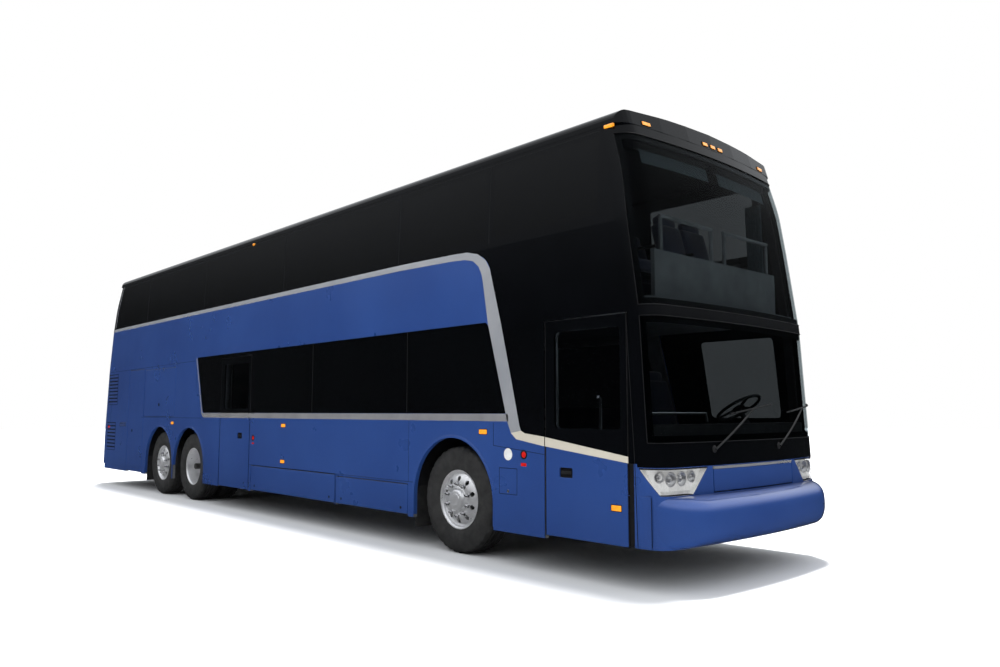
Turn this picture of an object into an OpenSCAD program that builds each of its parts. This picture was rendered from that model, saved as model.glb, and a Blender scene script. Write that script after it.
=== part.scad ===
// Three-axle double-deck coach. X points forward, Z up, and the entrance side faces -Y.
// The origin is on the ground, at the middle of the vehicle's length and width.

/* [Overall] */
// Length over the front bumper and the rear panel
length = 13720; // [13000:10:16500]
// Width over the side panels
width = 2590; // [2150:5:3110]
// Height of the roof's crown above the ground
height = 3990; // [3880:10:4800]
// Front bumper to front axle
front_overhang = 2790; // [2600:10:3000]
// Front axle to drive axle
wheelbase = 6600; // [6200:10:7900]
// Drive axle to tag axle
tandem = 1270; // [1250:5:1500]

/* [Body shell] */
// Underside of the side panels
skirt_z = 300; // [260:5:360]
// Thickness of side walls, doors and end panels
wall = 60; // [50:1:72]
// Thickness of window glass
glass = 22; // [16:1:26]
// How far the lower side glass sits behind the panels
glass_recess = 14; // [8:1:18]
// Gap round doors and flaps
gap = 8; // [6:0.5:9]
// Underside of the bright belt strip
belt_z = 1300; // [1250:5:1320]
// Underside of the lower side windows
low_glass_z0 = 1376; // [1340:2:1400]
// Top of the lower side windows
low_glass_z1 = 2250; // [2200:5:2280]
// Top of the painted side panels
panel_top_z = 2970; // [2900:5:3050]
// Roof gutter below the crown
gutter_drop = 170; // [150:5:200]
// Inward lean of the upper side windows, at the gutter
lean_in = 37; // [20:1:50]
// Corner radius of the front, seen from above
front_corner_r = 200; // [160:5:240]
// Bow radius of the front, seen from above
front_bow_r = 9000; // [8000:50:12000]
// Corner radius of the rear, seen from above
rear_corner_r = 160; // [120:5:200]

/* [Decks] */
// Aisle floor of the lower deck
low_floor_z = 430; // [410:5:450]
// Seat platforms of the lower deck
platform_z = 690; // [680:5:720]
// Floor of the upper deck
up_floor_z = 2330; // [2300:5:2400]
// Thickness of the floors
floor_t = 60; // [40:1:70]
// Distance between seat rows
seat_pitch = 800; // [740:5:900]
// Half the width of the aisles
aisle_half = 250; // [220:5:300]

/* [Wheels] */
// Outer radius of the tyres
tyre_r = 524; // [500:1:540]
// Width of a tyre
tyre_w = 305; // [290:1:315]
// Radius of the rims where the tyres seat
rim_r = 286; // [270:1:300]
// Outer face of the outermost tyres from the centre plane
track_half = 1222; // [1190:1:1230]
// Gap between twin tyres
twin_gap = 34; // [25:1:45]
// Radius of the wheel arches
arch_r = 620; // [600:5:650]
// Radius of the wheel spindles
spindle_r = 45; // [38:1:50]
// Radius of the kingpins
kingpin_r = 22; // [18:1:28]
// Kingpins from the centre plane
kingpin_y = 880; // [840:5:890]

/* [Doors] */
// Rear edge of the front door, forward of the front axle
front_door_x0 = 1283; // [1250:1:1300]
// Front edge of the front door, forward of the front axle
front_door_x1 = 2215; // [2150:1:2220]
// Rear edge of the middle door, behind the front axle
mid_door_x0 = 5436; // [5400:1:5500]
// Front edge of the middle door, behind the front axle
mid_door_x1 = 4440; // [4400:1:4500]
// Top of the passenger doors
door_top_z = 2200; // [2150:5:2230]
// Length of the door arms
door_arm = 560; // [500:5:600]
// Door arm pivots behind the wall
door_pivot_in = 70; // [55:1:90]

/* [Hidden] */

paint = [0.12, 0.2, 0.47];
black = [0.05, 0.05, 0.06];
tinted = [0.1, 0.11, 0.12];
alloy = [0.75, 0.76, 0.78];
steel_grey = [0.3, 0.31, 0.33];
trim_grey = [0.35, 0.35, 0.37];
seat_blue = [0.16, 0.18, 0.28];

half_w = width / 2;
front_x = length / 2;
rear_x = -length / 2;
axle_x = front_x - front_overhang;
drive_x = axle_x - wheelbase;
tag_x = drive_x - tandem;
gutter_z = height - gutter_drop;
hub_z = tyre_r;
seam = 0.3;
reach = 20000;
end_seat = 40;

// Levels of the body: height, how far the front face stands behind the bumper's
// nose, and how far the rear face stands ahead of the rearmost point.
levels = [
    [skirt_z, 172, 0],
    [960, 190, 8],
    [2200, 260, 122],
    [gutter_z - 420, 425, 350],
    [height, 590, 650]];
level_z = 0;
level_front = 1;
level_rear = 2;
LOW = 0;
WAIST = 1;
UPPER = 2;
TOP = 3;

function arc(cx, cy, r, a0, a1, n) =
    [for (i = [0 : n]) let (a = a0 + (a1 - a0) * i / n) [cx + r * cos(a), cy + r * sin(a)]];

// Half of the bowed end of the plan, from the side to the middle, in from the skin
// by "in"; its own x is 0 at the skin's middle and the body lies at negative x.
function bow_half(bow, corner, in) =
    let (turn = asin((half_w - corner) / (bow - corner)),
         cx = -bow + (bow - corner) * cos(turn))
    concat(arc(cx, half_w - corner, corner - in, 90, turn, 7),
           [for (i = [1 : 3]) let (a = turn * (1 - i / 3))
               [-bow + (bow - in) * cos(a), (bow - in) * sin(a)]]);

function flip(points) = [for (i = [len(points) - 1 : -1 : 0]) points[i]];

// Closed plan of an end, counterclockwise, cut off square "depth" behind the middle
function end_plan(half, depth) = concat(
    [[-depth, -half[0].y]],
    [for (p = half) if (p.y > 0) [p.x, -p.y]],
    flip(half),
    [[-depth, half[0].y]]);

// How far behind the middle of each end the flat sides begin
side_depth_f = end_seat - bow_half(front_bow_r, front_corner_r, 0)[0].x;
side_depth_r = end_seat - bow_half(2 * front_bow_r, rear_corner_r, 0)[0].x;

// A body level's lean, and the depth of a cut behind its face, level with the ground
function lean_of(l, side) =
    atan((levels[l + 1][side] - levels[l][side]) / (levels[l + 1][level_z] - levels[l][level_z]));
function face_x(l, z, side) =
    levels[l][side] + (z - levels[l][level_z]) * tan(lean_of(l, side));
function front_at(l, z) = front_x - face_x(l, z, level_front);
function rear_at(l, z) = rear_x + face_x(l, z, level_rear);

// Where the flat sides meet the end shells at a height
function front_line(z) = front_at(level_of(z), z) - side_depth_f;
function rear_line(z) = rear_at(level_of(z), z) + side_depth_r;
function level_of(z) = z < levels[1][0] ? LOW : z < levels[2][0] ? WAIST
    : z < levels[3][0] ? UPPER : TOP;

// Half-width of the body at a height
function half_at(z) = half_w - max(0, z - panel_top_z) * lean_in / (gutter_z - panel_top_z);

module slab(z0, z1) {
    translate([-reach / 2, -reach / 2, z0]) cube([reach, reach, z1 - z0]);
}

// One level's leaning prism with the front's plan, "in" millimetres inside the skin,
// cut off square "depth" behind the face.
module front_prism(l, in, depth) {
    half = bow_half(front_bow_r, front_corner_r, in);
    translate([front_at(l, levels[l][level_z]), 0, levels[l][level_z]])
        rotate([0, -lean_of(l, level_front), 0])
            translate([0, 0, -reach / 2])
                linear_extrude(reach)
                    polygon(end_plan(half, depth));
}

module rear_prism(l, in, depth) {
    half = bow_half(2 * front_bow_r, rear_corner_r, in);
    translate([rear_at(l, levels[l][level_z]), 0, levels[l][level_z]])
        rotate([0, 0, 180]) rotate([0, -lean_of(l, level_rear), 0])
            translate([0, 0, -reach / 2])
                linear_extrude(reach)
                    polygon(end_plan(half, depth));
}

// Cross-section of the body from the skirt to the crown, "in" millimetres inside it
roof_r = 110;
roof_t = 45;
crown_drop = 48;
function section_half(in) =
    let (g = half_at(gutter_z), top = height - crown_drop)
    concat([[half_w - in, 0], [half_w - in, panel_top_z], [g - in, gutter_z]],
           arc(g - roof_r, top - roof_r + 10, roof_r - in, 12, 76, 5),
           [[g / 2, height - in - crown_drop / 4]]);

module body_section(in, x0, x1) {
    half = section_half(in);
    translate([x0, 0, 0]) rotate([90, 0, 90])
        linear_extrude(x1 - x0)
            polygon(concat(half, [[0, height - in]],
                [for (i = [len(half) - 1 : -1 : 0]) [-half[i].x, half[i].y]]));
}

// Everything beyond a profile line, towards the front (s = 1) or the rear (s = -1)
end_reach = 1500;
module end_zone(line, s) {
    rotate([90, 0, 0]) translate([0, 0, -reach / 2]) linear_extrude(reach)
        polygon(concat(line, [[s * reach, height], [s * reach, skirt_z]]));
}

// Front or rear shell of one level between two heights, from skin "in0" to skin "in1"
module front_shell(l, z0, z1, in0, in1) {
    intersection() {
        slab(z0, z1);
        body_section(in0, 0, reach / 2);
        end_zone([for (v = levels) [front_line(v[level_z]), v[level_z]]], 1);
        difference() {
            front_prism(l, in0, end_reach);
            intersection() {
                front_prism(l, in1, end_reach + 1);
                body_section(in1, 0, reach / 2);
            }
        }
    }
}

module rear_shell(l, z0, z1, in0, in1) {
    intersection() {
        slab(z0, z1);
        body_section(in0, -reach / 2, 0);
        end_zone([for (v = levels) [rear_line(v[level_z]), v[level_z]]], -1);
        difference() {
            rear_prism(l, in0, end_reach);
            intersection() {
                rear_prism(l, in1, end_reach + 1);
                body_section(in1, -reach / 2, 0);
            }
        }
    }
}

// ---- side walls: outlines in x and z ----

front_door_rear = axle_x + front_door_x0;
front_door_front = axle_x + front_door_x1;
mid_door_rear = axle_x - mid_door_x0;
mid_door_front = axle_x - mid_door_x1;
belt_front_z = 1030;
rear_glass_top = axle_x + (-6363);
rear_glass_low = axle_x + (-6087);
stripe_top_x = axle_x + 538;
stripe_low_x = axle_x + 817;
band_round = 250;
post_w = 70;
pillars = [for (x = [-9300, -7850, -6300, -4700, -3200, -1850, -894, 500]) axle_x + x];
low_pillars = [for (x = [-2757, -762]) axle_x + x];

// Heights of the corners of an end's profile between two heights
function bend_zs(z0, z1) = concat([z0],
    [for (l = [1 : 3]) if (levels[l][level_z] > z0 && levels[l][level_z] < z1) levels[l][level_z]], [z1]);
function rear_edge(z0, z1) = [for (z = bend_zs(z0, z1)) [rear_line(z) + seam, z]];
function front_edge(z0, z1) = [for (z = bend_zs(z0, z1)) [front_line(z) - seam, z]];

// Whole side between two heights
function side_outline(z0, z1) = concat(rear_edge(z0, z1), flip(front_edge(z0, z1)));

// Painted part: below the pale stripe, which turns down ahead of the side windows
module paint_outline() {
    polygon(concat(rear_edge(skirt_z, panel_top_z), [
        [stripe_top_x - band_round, panel_top_z - 40]],
        arc(stripe_top_x - band_round + 45, panel_top_z - 40 - band_round, band_round, 84, 10, 6), [
        [stripe_low_x + 140, belt_z - 60],
        [stripe_low_x + 220, belt_z - 160]],
        flip(front_edge(skirt_z, belt_front_z))));
}

module low_window_outline() {
    polygon([[rear_glass_low, low_glass_z0], [rear_glass_top, low_glass_z1],
        [stripe_top_x, low_glass_z1], [stripe_low_x, low_glass_z0]]);
}

module arch_outline() {
    for (x = [axle_x, drive_x, tag_x]) {
        translate([x, hub_z]) circle(r = arch_r, $fn = 72);
        translate([x - arch_r, 0]) square([2 * arch_r, hub_z]);
    }
}

// Moving panels of the side: x and z of the rear lower corner, width and height,
// measured forward from the front axle.
locker_z = skirt_z + 12;
locker_h = 340;
locker_front = [axle_x - 2154, locker_z, 1440, locker_h - 20];
locker_rear = [mid_door_front + 60, locker_z, axle_x - 2168 - mid_door_front - 60, locker_h];
luggage = [tag_x - 780, belt_z + 6, 1440, 826];
service = [tag_x - 1590, skirt_z + 10, 795, 1850];
front_door_box = [front_door_rear, skirt_z + 20, front_door_x1 - front_door_x0,
    door_top_z - skirt_z - 20];
mid_door_box = [mid_door_rear, skirt_z, mid_door_x0 - mid_door_x1, door_top_z - skirt_z];

module panel_outline(box, in = 0) {
    translate([box[0] + in, box[1] + in]) square([box[2] - 2 * in, box[3] - 2 * in]);
}

// A flap in its opening: free by the gap all round, and by a seam at its hinge edge
module flap_outline(box, hinge) {
    panel_outline(box, gap);
    if (hinge == "top")
        translate([box[0] + gap, box[1] + box[3] / 2]) square([box[2] - 2 * gap, box[3] / 2 - seam]);
    if (hinge == "front")
        translate([box[0] + box[2] / 2, box[1] + gap]) square([box[2] / 2 - seam, box[3] - 2 * gap]);
}

// Doorways run out through the skirt
module doorway_outline(box) {
    translate([box[0], 0]) square([box[2], box[1] + box[3]]);
}

// Places a flat side outline on the right (s = -1) or left (s = 1) side,
// from "in0" to "in1" behind the skin.
module on_side(s, in0, in1) {
    y = s < 0 ? -half_w + in1 : half_w - in0;
    translate([0, y, 0]) rotate([90, 0, 0]) linear_extrude(in1 - in0) children();
}

// The same on the leaning upper side
module on_upper_side(s, in0, in1) {
    intersection() {
        rotate([90, 0, 0]) translate([0, 0, s < 0 ? 0 : -reach / 2])
            linear_extrude(reach / 2) children();
        translate([-reach / 2, 0, 0]) rotate([90, 0, 90]) linear_extrude(reach)
            polygon([[s * (half_w - in0), panel_top_z - reach / 10],
                [s * (half_w - in1), panel_top_z - reach / 10],
                [s * (half_w - in1), panel_top_z],
                [s * (half_at(gutter_z) - in1), gutter_z],
                [s * (half_at(gutter_z) - in0), gutter_z],
                [s * (half_w - in0), panel_top_z]]);
    }
}

module upper_frame_outline() {
    difference() {
        polygon(side_outline(skirt_z, gutter_z));
        paint_outline();
        difference() {
            polygon([[rear_line(panel_top_z) + 2 * post_w, panel_top_z + post_w],
                [rear_line(panel_top_z) + 5 * post_w, gutter_z - post_w],
                [front_line(gutter_z) - post_w, gutter_z - post_w],
                [front_line(panel_top_z) - post_w, panel_top_z + post_w]]);
            for (x = pillars) translate([x - post_w / 2, 0]) square([post_w, height]);
        }
    }
}

// Windows beside the driver and behind the front door, below the upper deck
front_quarter = [[stripe_low_x + 180, belt_z + 90], [stripe_top_x + 270, low_glass_z1 - 110],
    [front_door_rear - 60, low_glass_z1 - 110], [front_door_rear - 60, belt_z + 90]];
driver_window = [[front_door_rear, belt_z], [front_door_rear, door_top_z],
    [front_door_front, door_top_z], [front_door_front, belt_z]];

module side_panel(s) {
    difference() {
        union() {
            color(paint) on_side(s, 0, wall) paint_outline();
            color(black) on_upper_side(s, glass, wall) upper_frame_outline();
        }
        on_side(s, -1, wall + 1) arch_outline();
        // Lower windows: the glass sits in a step, framed behind by narrow posts
        on_side(s, -1, glass_recess + glass) low_window_outline();
        on_side(s, -1, wall + 1) difference() {
            offset(delta = -post_w / 2) low_window_outline();
            for (x = low_pillars) translate([x - post_w / 2, 0]) square([post_w, height]);
        }
        for (box = [locker_front, locker_rear, luggage])
            on_side(s, -1, wall + 1) panel_outline(box);
        if (s < 0) {
            on_side(s, -1, wall + 1) polygon(front_quarter);
            on_side(s, -1, wall + 1) panel_outline(service);
            on_side(s, -1, wall + 1) doorway_outline(front_door_box);
            on_side(s, -1, wall + 1) doorway_outline(mid_door_box);
        }
        if (s > 0) on_side(s, -1, wall + 1) polygon(driver_window);
    }
}

module side_right() { side_panel(-1); }
module side_left() { side_panel(1); }

module lower_side_glass() {
    color(tinted) for (s = [-1, 1])
        on_side(s, glass_recess, glass_recess + glass) difference() {
            low_window_outline();
            if (s < 0) doorway_outline(mid_door_box);
        }
}

// Black glass band of the upper deck, with the part that runs down to the belt
module upper_side_glass() {
    color(black) for (s = [-1, 1]) difference() {
        on_upper_side(s, 0, glass) difference() {
            polygon(side_outline(skirt_z, gutter_z));
            paint_outline();
            if (s < 0) doorway_outline(front_door_box);
        }
    }
}

// The body's whole plan at one level, "in" millimetres inside the skin
module whole_plan(l, in) {
    intersection() {
        front_prism(l, in, length);
        rear_prism(l, in, length);
    }
}

module roof() {
    color(black) intersection() {
        slab(gutter_z, height + 1);
        difference() {
            intersection() {
                body_section(0, rear_x, front_x);
                whole_plan(TOP, 0);
            }
            intersection() {
                body_section(roof_t, rear_x, front_x);
                whole_plan(TOP, wall);
            }
        }
    }
}

// ---- front ----

screen_half = half_w - 145;
screen_low = [1150, 2160];
screen_top = [2250, gutter_z - 90];

module front_opening(z0, z1) {
    translate([0, -screen_half, z0]) cube([reach, 2 * screen_half, z1 - z0]);
}

module front_frame() {
    color(black) difference() {
        union() {
            front_shell(WAIST, levels[WAIST][0], levels[UPPER][0], 0, wall);
            front_shell(UPPER, levels[UPPER][0], levels[TOP][0], 0, wall);
            front_shell(TOP, levels[TOP][0], gutter_z, 0, wall);
        }
        front_opening(screen_low[0], screen_low[1]);
        front_opening(screen_top[0], screen_top[1]);
    }
}

module windscreens() {
    color(tinted) {
        intersection() {
            front_shell(WAIST, screen_low[0], screen_low[1], 0, glass);
            front_opening(screen_low[0], screen_low[1]);
        }
        intersection() {
            union() {
                front_shell(UPPER, screen_top[0], levels[TOP][0], 0, glass);
                front_shell(TOP, levels[TOP][0], screen_top[1], 0, glass);
            }
            front_opening(screen_top[0], screen_top[1]);
        }
    }
}

lamp_top = 955;
lamp_low = 742;
lamp_outline = [[686, lamp_top], [876, lamp_low], [1140, lamp_low], [1262, lamp_top]];
flap_half = 660;
bumper_top = 738;
rear_lamp_z = [1000, 1750];

module lamp_cut() {
    for (s = [-1, 1]) rotate([90, 0, 90]) linear_extrude(reach)
            polygon([for (p = lamp_outline) [s * (p.x + (half_w - 1295)), p.y]]);
}

module flap_cut(in, top) {
    translate([0, -flap_half + in, lamp_low + in])
        cube([reach, 2 * (flap_half - in), lamp_top - lamp_low - in - top]);
}

module front_mask() {
    color(paint) difference() {
        front_shell(LOW, skirt_z + 30, levels[WAIST][0], 0, wall);
        lamp_cut();
        flap_cut(0, 0);
    }
}

module front_flap() {
    color(paint) intersection() {
        front_shell(LOW, lamp_low, lamp_top, 0, wall / 2);
        flap_cut(gap, seam);
    }
}

// Bumper sections from the bottom up: height, nose behind the foremost point, corner radius
bumper_rows = [
    [skirt_z + 14, 300, 260],
    [skirt_z + 45, 130, 300],
    [skirt_z + 110, 45, 320],
    [skirt_z + 210, 0, 330],
    [skirt_z + 320, 6, 330],
    [skirt_z + 385, 45, 320],
    [bumper_top, 160, 300]];

bumper_inset = 3;
bumper_back = front_at(LOW, skirt_z) - side_depth_f + 110;

function bumper_ring(row) =
    [for (p = flip(end_plan(bow_half(front_bow_r, row[2], bumper_inset), 2 * front_corner_r + 300)))
        [front_x + bumper_inset - row[1] + p.x, p.y, row[0]]];

module loft(rings) {
    n = len(rings[0]);
    polyhedron([for (r = rings) each r],
        concat([[for (i = [0 : n - 1]) i]],
            [for (k = [0 : len(rings) - 2], i = [0 : n - 1]) let (j = (i + 1) % n) each [
                [k * n + i, (k + 1) * n + i, (k + 1) * n + j],
                [k * n + i, (k + 1) * n + j, k * n + j]]],
            [[for (i = [n - 1 : -1 : 0]) (len(rings) - 1) * n + i]]));
}

module front_bumper() {
    color(paint) difference() {
        loft([for (row = bumper_rows) bumper_ring(row)]);
        front_prism(LOW, -seam, reach / 8);
        translate([bumper_back - reach, -reach / 2, 0]) cube([reach, reach, height]);
    }
}

module lamps() {
    color("white") intersection() {
        front_shell(LOW, lamp_low - 1, lamp_top, 0, wall);
        lamp_cut();
    }
    color("red") intersection() {
        rear_shell(WAIST, rear_lamp_z[0], rear_lamp_z[1], 0, wall / 2);
        rear_lamp_cut();
    }
}

// ---- rear ----

rear_lamp_y = half_w - 330;
engine_door_half = 860;
engine_door_z = [520, 1960];
rear_window_half = 1020;
rear_window_z = [2860, gutter_z - 130];

module rear_lamp_cut() {
    for (s = [-1, 1]) translate([-reach, s > 0 ? rear_lamp_y : -rear_lamp_y - 190, rear_lamp_z[0]])
        cube([reach, 190, rear_lamp_z[1] - rear_lamp_z[0]]);
}

module rear_opening(half, zs, in, top) {
    translate([-reach, -half + in, zs[0] + in])
        cube([reach, 2 * (half - in), zs[1] - zs[0] - in - top]);
}

module rear_panel() {
    color(paint) difference() {
        union() {
            rear_shell(LOW, skirt_z + 90, levels[WAIST][0], 0, wall);
            rear_shell(WAIST, levels[WAIST][0], levels[UPPER][0], 0, wall);
            rear_shell(UPPER, levels[UPPER][0], levels[TOP][0], 0, wall);
            rear_shell(TOP, levels[TOP][0], gutter_z, 0, wall);
        }
        rear_opening(engine_door_half, engine_door_z, 0, 0);
        rear_opening(rear_window_half, rear_window_z, 0, 0);
        intersection() {
            rear_shell(WAIST, rear_lamp_z[0], rear_lamp_z[1], -1, wall / 2);
            rear_lamp_cut();
        }
    }
}

module rear_window() {
    color(tinted) intersection() {
        union() {
            rear_shell(UPPER, rear_window_z[0], levels[TOP][0], 0, glass);
            rear_shell(TOP, levels[TOP][0], rear_window_z[1], 0, glass);
        }
        rear_opening(rear_window_half, rear_window_z, 0, 0);
    }
}

module engine_door() {
    color(paint) intersection() {
        union() {
            rear_shell(LOW, engine_door_z[0], levels[WAIST][0], 0, wall * 0.7);
            rear_shell(WAIST, levels[WAIST][0], engine_door_z[1], 0, wall * 0.7);
        }
        rear_opening(engine_door_half, engine_door_z, gap, seam);
    }
}

// ---- running gear ----

wheel_y = track_half - tyre_w / 2;
rail_y = 395;
front_rail_z = 600;
rear_rail_z = 780;
pad_r = 80;
twin_y = wheel_y - tyre_w - twin_gap;
hub_r = 110;
twin_mid = (wheel_y + twin_y) / 2;
spindle_end = track_half - 60;

module y_cylinder(r, y0, y1) {
    rotate([-90, 0, 0]) translate([0, 0, y0]) cylinder(r = r, h = y1 - y0, $fn = 48);
}

// Beams of the three axles, with the pads that carry the air springs
module axles() {
    color(steel_grey) {
        difference() {
            union() {
                translate([axle_x - 45, -kingpin_y, hub_z - 55]) cube([90, 2 * kingpin_y, 110]);
                for (s = [-1, 1]) {
                    translate([axle_x, s * kingpin_y, hub_z - 80])
                        cylinder(r = 55, h = 160, $fn = 48);
                    translate([axle_x, s * rail_y, hub_z]) cylinder(r = pad_r,
                        h = front_rail_z - hub_z, $fn = 48);
                }
            }
            for (s = [-1, 1]) translate([axle_x, s * kingpin_y, 0])
                cylinder(r = kingpin_r + seam, h = height, $fn = 48);
        }
        for (x = [drive_x, tag_x]) translate([x, 0, 0]) {
            translate([-60, -twin_y + 190, hub_z - 60]) cube([120, 2 * (twin_y - 190), 120]);
            translate([0, 0, hub_z]) y_cylinder(spindle_r, -spindle_end, spindle_end);
            for (s = [-1, 1]) translate([0, s * rail_y, hub_z]) cylinder(r = pad_r,
                h = rear_rail_z - hub_z, $fn = 48);
            if (x == drive_x) translate([0, 0, hub_z]) sphere(r = 190, $fn = 48);
        }
    }
}

// Steering knuckle: a yoke over the beam's end, its kingpin and the wheel spindle
module knuckle(s) {
    color(steel_grey) translate([axle_x, 0, 0]) {
        for (z = [hub_z - 80 - 6 - 34, hub_z + 80 + 6])
            translate([0, s * kingpin_y, z]) {
                cylinder(r = 48, h = 34, $fn = 48);
                translate([-48, s > 0 ? 0 : -98, 0]) cube([96, 98, 34]);
            }
        translate([-48, s > 0 ? kingpin_y + 66 : -kingpin_y - 98, hub_z - 120])
            cube([96, 32, 240]);
        translate([0, s * kingpin_y, hub_z - 120]) cylinder(r = kingpin_r, h = 240, $fn = 48);
        translate([0, 0, hub_z]) y_cylinder(spindle_r,
            s > 0 ? kingpin_y + 70 : -spindle_end, s > 0 ? spindle_end : -kingpin_y - 70);
    }
}

module knuckle_left() { knuckle(1); }
module knuckle_right() { knuckle(-1); }

// A tyre's profile: distance from the wheel's middle and radius
tread_half = tyre_w / 2 - 22;
module tyre_ring(x, y) {
    translate([x, y, hub_z]) rotate([-90, 0, 0]) rotate_extrude($fn = 96)
        polygon(concat([[rim_r, -tyre_w / 2 + 34]],
            [[rim_r + 26, -tyre_w / 2 + 16], [(rim_r + tyre_r) / 2, -tyre_w / 2],
             [tyre_r - 60, -tyre_w / 2 + 6]],
            [[tyre_r - 14, -tread_half], [tyre_r, -tread_half + 22],
             [tyre_r, tread_half - 22], [tyre_r - 14, tread_half],
             [tyre_r - 60, tyre_w / 2 - 6], [(rim_r + tyre_r) / 2, tyre_w / 2],
             [rim_r + 26, tyre_w / 2 - 16]],
            [[rim_r, tyre_w / 2 - 34]]));
}

// A disc wheel: rim barrel, disc set "dish" outboard of the middle, and hub with its bore
module disc_wheel(x, y, s, dish, hub_in, hub_out, barrel_in, barrel_out) {
    translate([x, y, hub_z]) rotate([s > 0 ? -90 : 90, 0, 0]) difference() {
        union() {
            rotate_extrude($fn = 96) polygon([
                [rim_r - 14, barrel_in], [rim_r - 14, barrel_out],
                [rim_r, barrel_out], [rim_r, barrel_in]]);
            rotate_extrude($fn = 96) polygon([
                [0, hub_in], [hub_r, hub_in], [hub_r, dish - 12], [rim_r - 10, dish - 12],
                [rim_r - 10, dish + 12], [hub_r + 25, dish + 24], [hub_r, hub_out], [0, hub_out]]);
        }
        translate([0, 0, hub_in - 1]) cylinder(r = spindle_r + seam, h = hub_out - hub_in + 2, $fn = 48);
        for (i = [0 : 9]) rotate([0, 0, 36 * i]) translate([hub_r + 95, 0, 0])
            translate([0, 0, dish - 40]) cylinder(r = 26, h = 80, $fn = 24);
    }
}

barrel = tyre_w / 2 - 34;
hub_nose = 141;
disc_out = barrel - 13;
module front_wheel(s) {
    color(alloy) disc_wheel(axle_x, s * wheel_y, s, disc_out, kingpin_y + 106 - wheel_y,
        hub_nose, -barrel, barrel);
}
module tag_wheel(s) {
    color(alloy) disc_wheel(tag_x, s * wheel_y, s, disc_out, -100, hub_nose, -barrel, barrel);
}
// Twin wheels bolt disc to disc half way between their tyres
module twin_wheel(s) {
    to_mid = wheel_y - twin_mid;
    color(alloy) {
        disc_wheel(drive_x, s * wheel_y, s, 12 - to_mid, -to_mid, 100, -to_mid, barrel);
        disc_wheel(drive_x, s * twin_y, s, to_mid - 12, -60, to_mid, -barrel, to_mid);
    }
}

module tyre_front_left() { color(black) tyre_ring(axle_x, wheel_y); }
module tyre_front_right() { color(black) tyre_ring(axle_x, -wheel_y); }
module tyre_tag_left() { color(black) tyre_ring(tag_x, wheel_y); }
module tyre_tag_right() { color(black) tyre_ring(tag_x, -wheel_y); }
module twin_tyres(s) {
    color(black) for (y = [wheel_y, twin_y]) tyre_ring(drive_x, s * y);
}
module tyre_drive_left() { twin_tyres(1); }
module tyre_drive_right() { twin_tyres(-1); }
module wheel_front_left() { front_wheel(1); }
module wheel_front_right() { front_wheel(-1); }
module wheel_tag_left() { tag_wheel(1); }
module wheel_tag_right() { tag_wheel(-1); }
module wheel_drive_left() { twin_wheel(1); }
module wheel_drive_right() { twin_wheel(-1); }

// ---- floors and structure ----

housing_in = 480;
housing_half = 672;
housing_z = 1190;
housing_t = 14;
well_front = axle_x + housing_half;
well_rear = axle_x - housing_half;
bogie_front = drive_x + housing_half;
bogie_rear = tag_x - housing_half;
rail_t = 60;
inner_half = half_w - wall;
frame_z = skirt_z + 5;
deck_low_z = low_floor_z - floor_t;
step_t = 20;
rail_h = 80;
cab_z = front_rail_z + rail_h;
cab_top = cab_z + 40;
luggage_rear = tag_x - 850;

// Longitudinal rails at three heights, joined by an upright plate at each step
module underframe() {
    color(steel_grey) {
        for (s = [-1, 1]) {
            translate([bogie_front, s * 600 - rail_t / 2, frame_z])
                cube([well_rear - bogie_front, rail_t, deck_low_z - frame_z]);
            translate([well_rear - step_t, s * rail_y - rail_t / 2, front_rail_z])
                cube([s > 0 ? axle_x + 2200 - well_rear : 2 * housing_half + step_t, rail_t, rail_h]);
            translate([rear_x + 500, s * rail_y - rail_t / 2, rear_rail_z])
                cube([bogie_front + step_t - rear_x - 500, rail_t, rail_h]);
        }
        for (k = [1 : 5]) translate([bogie_front + k * (well_rear - bogie_front) / 6, -600, frame_z])
            cube([50, 1200, deck_low_z - frame_z]);
        translate([well_rear - step_t, -630, frame_z]) cube([step_t, 1260, deck_low_z - frame_z]);
        translate([well_rear - step_t, -housing_in, frame_z])
            cube([step_t, 2 * housing_in, front_rail_z + rail_h - frame_z]);
        translate([bogie_front, -630, frame_z]) cube([step_t, 1260, deck_low_z - frame_z]);
        translate([bogie_front, -housing_in, frame_z])
            cube([step_t, 2 * housing_in, rear_rail_z + rail_h - frame_z]);
        translate([axle_x + housing_half - 60, -rail_y, front_rail_z])
            cube([60, 2 * rail_y, rail_h]);
        for (x = [axle_x + 1400, axle_x + 2100])
            translate([x, -aisle_half, front_rail_z]) cube([60, aisle_half + rail_y, rail_h]);
        for (x = [tag_x - 900, rear_x + 500])
            translate([x, -rail_y, rear_rail_z]) cube([60, 2 * rail_y, rail_h]);
    }
}

// The engine stands lengthwise between the rear rails
module engine_block() {
    color(steel_grey) translate([tag_x - 2450, -rail_y + rail_t / 2, rear_rail_z + rail_h - 260])
        cube([1450, 2 * rail_y - rail_t, 900]);
}

module wheel_housings() {
    color(black) difference() {
        for (s = [-1, 1], span = [[well_rear, well_front], [bogie_rear, bogie_front]])
            translate([span[0], s > 0 ? housing_in : -inner_half, skirt_z]) difference() {
                cube([span[1] - span[0], inner_half - housing_in, housing_z + housing_t - skirt_z]);
                translate([housing_t, s > 0 ? housing_t : -1, -1])
                    cube([span[1] - span[0] - 2 * housing_t, inner_half - housing_in - housing_t + 1,
                        housing_z - skirt_z + 1]);
            }
        for (x = [axle_x, drive_x, tag_x]) translate([x - 150, -housing_in - 50, 0])
            cube([300, 2 * housing_in + 100, hub_z + 150]);
    }
}

module mud_flaps() {
    color(black) for (s = [-1, 1], x = [well_rear + housing_t, bogie_rear + housing_t])
        translate([x, s > 0 ? inner_half - 330 : -inner_half, 190]) cube([8, 330, 420]);
}

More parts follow.
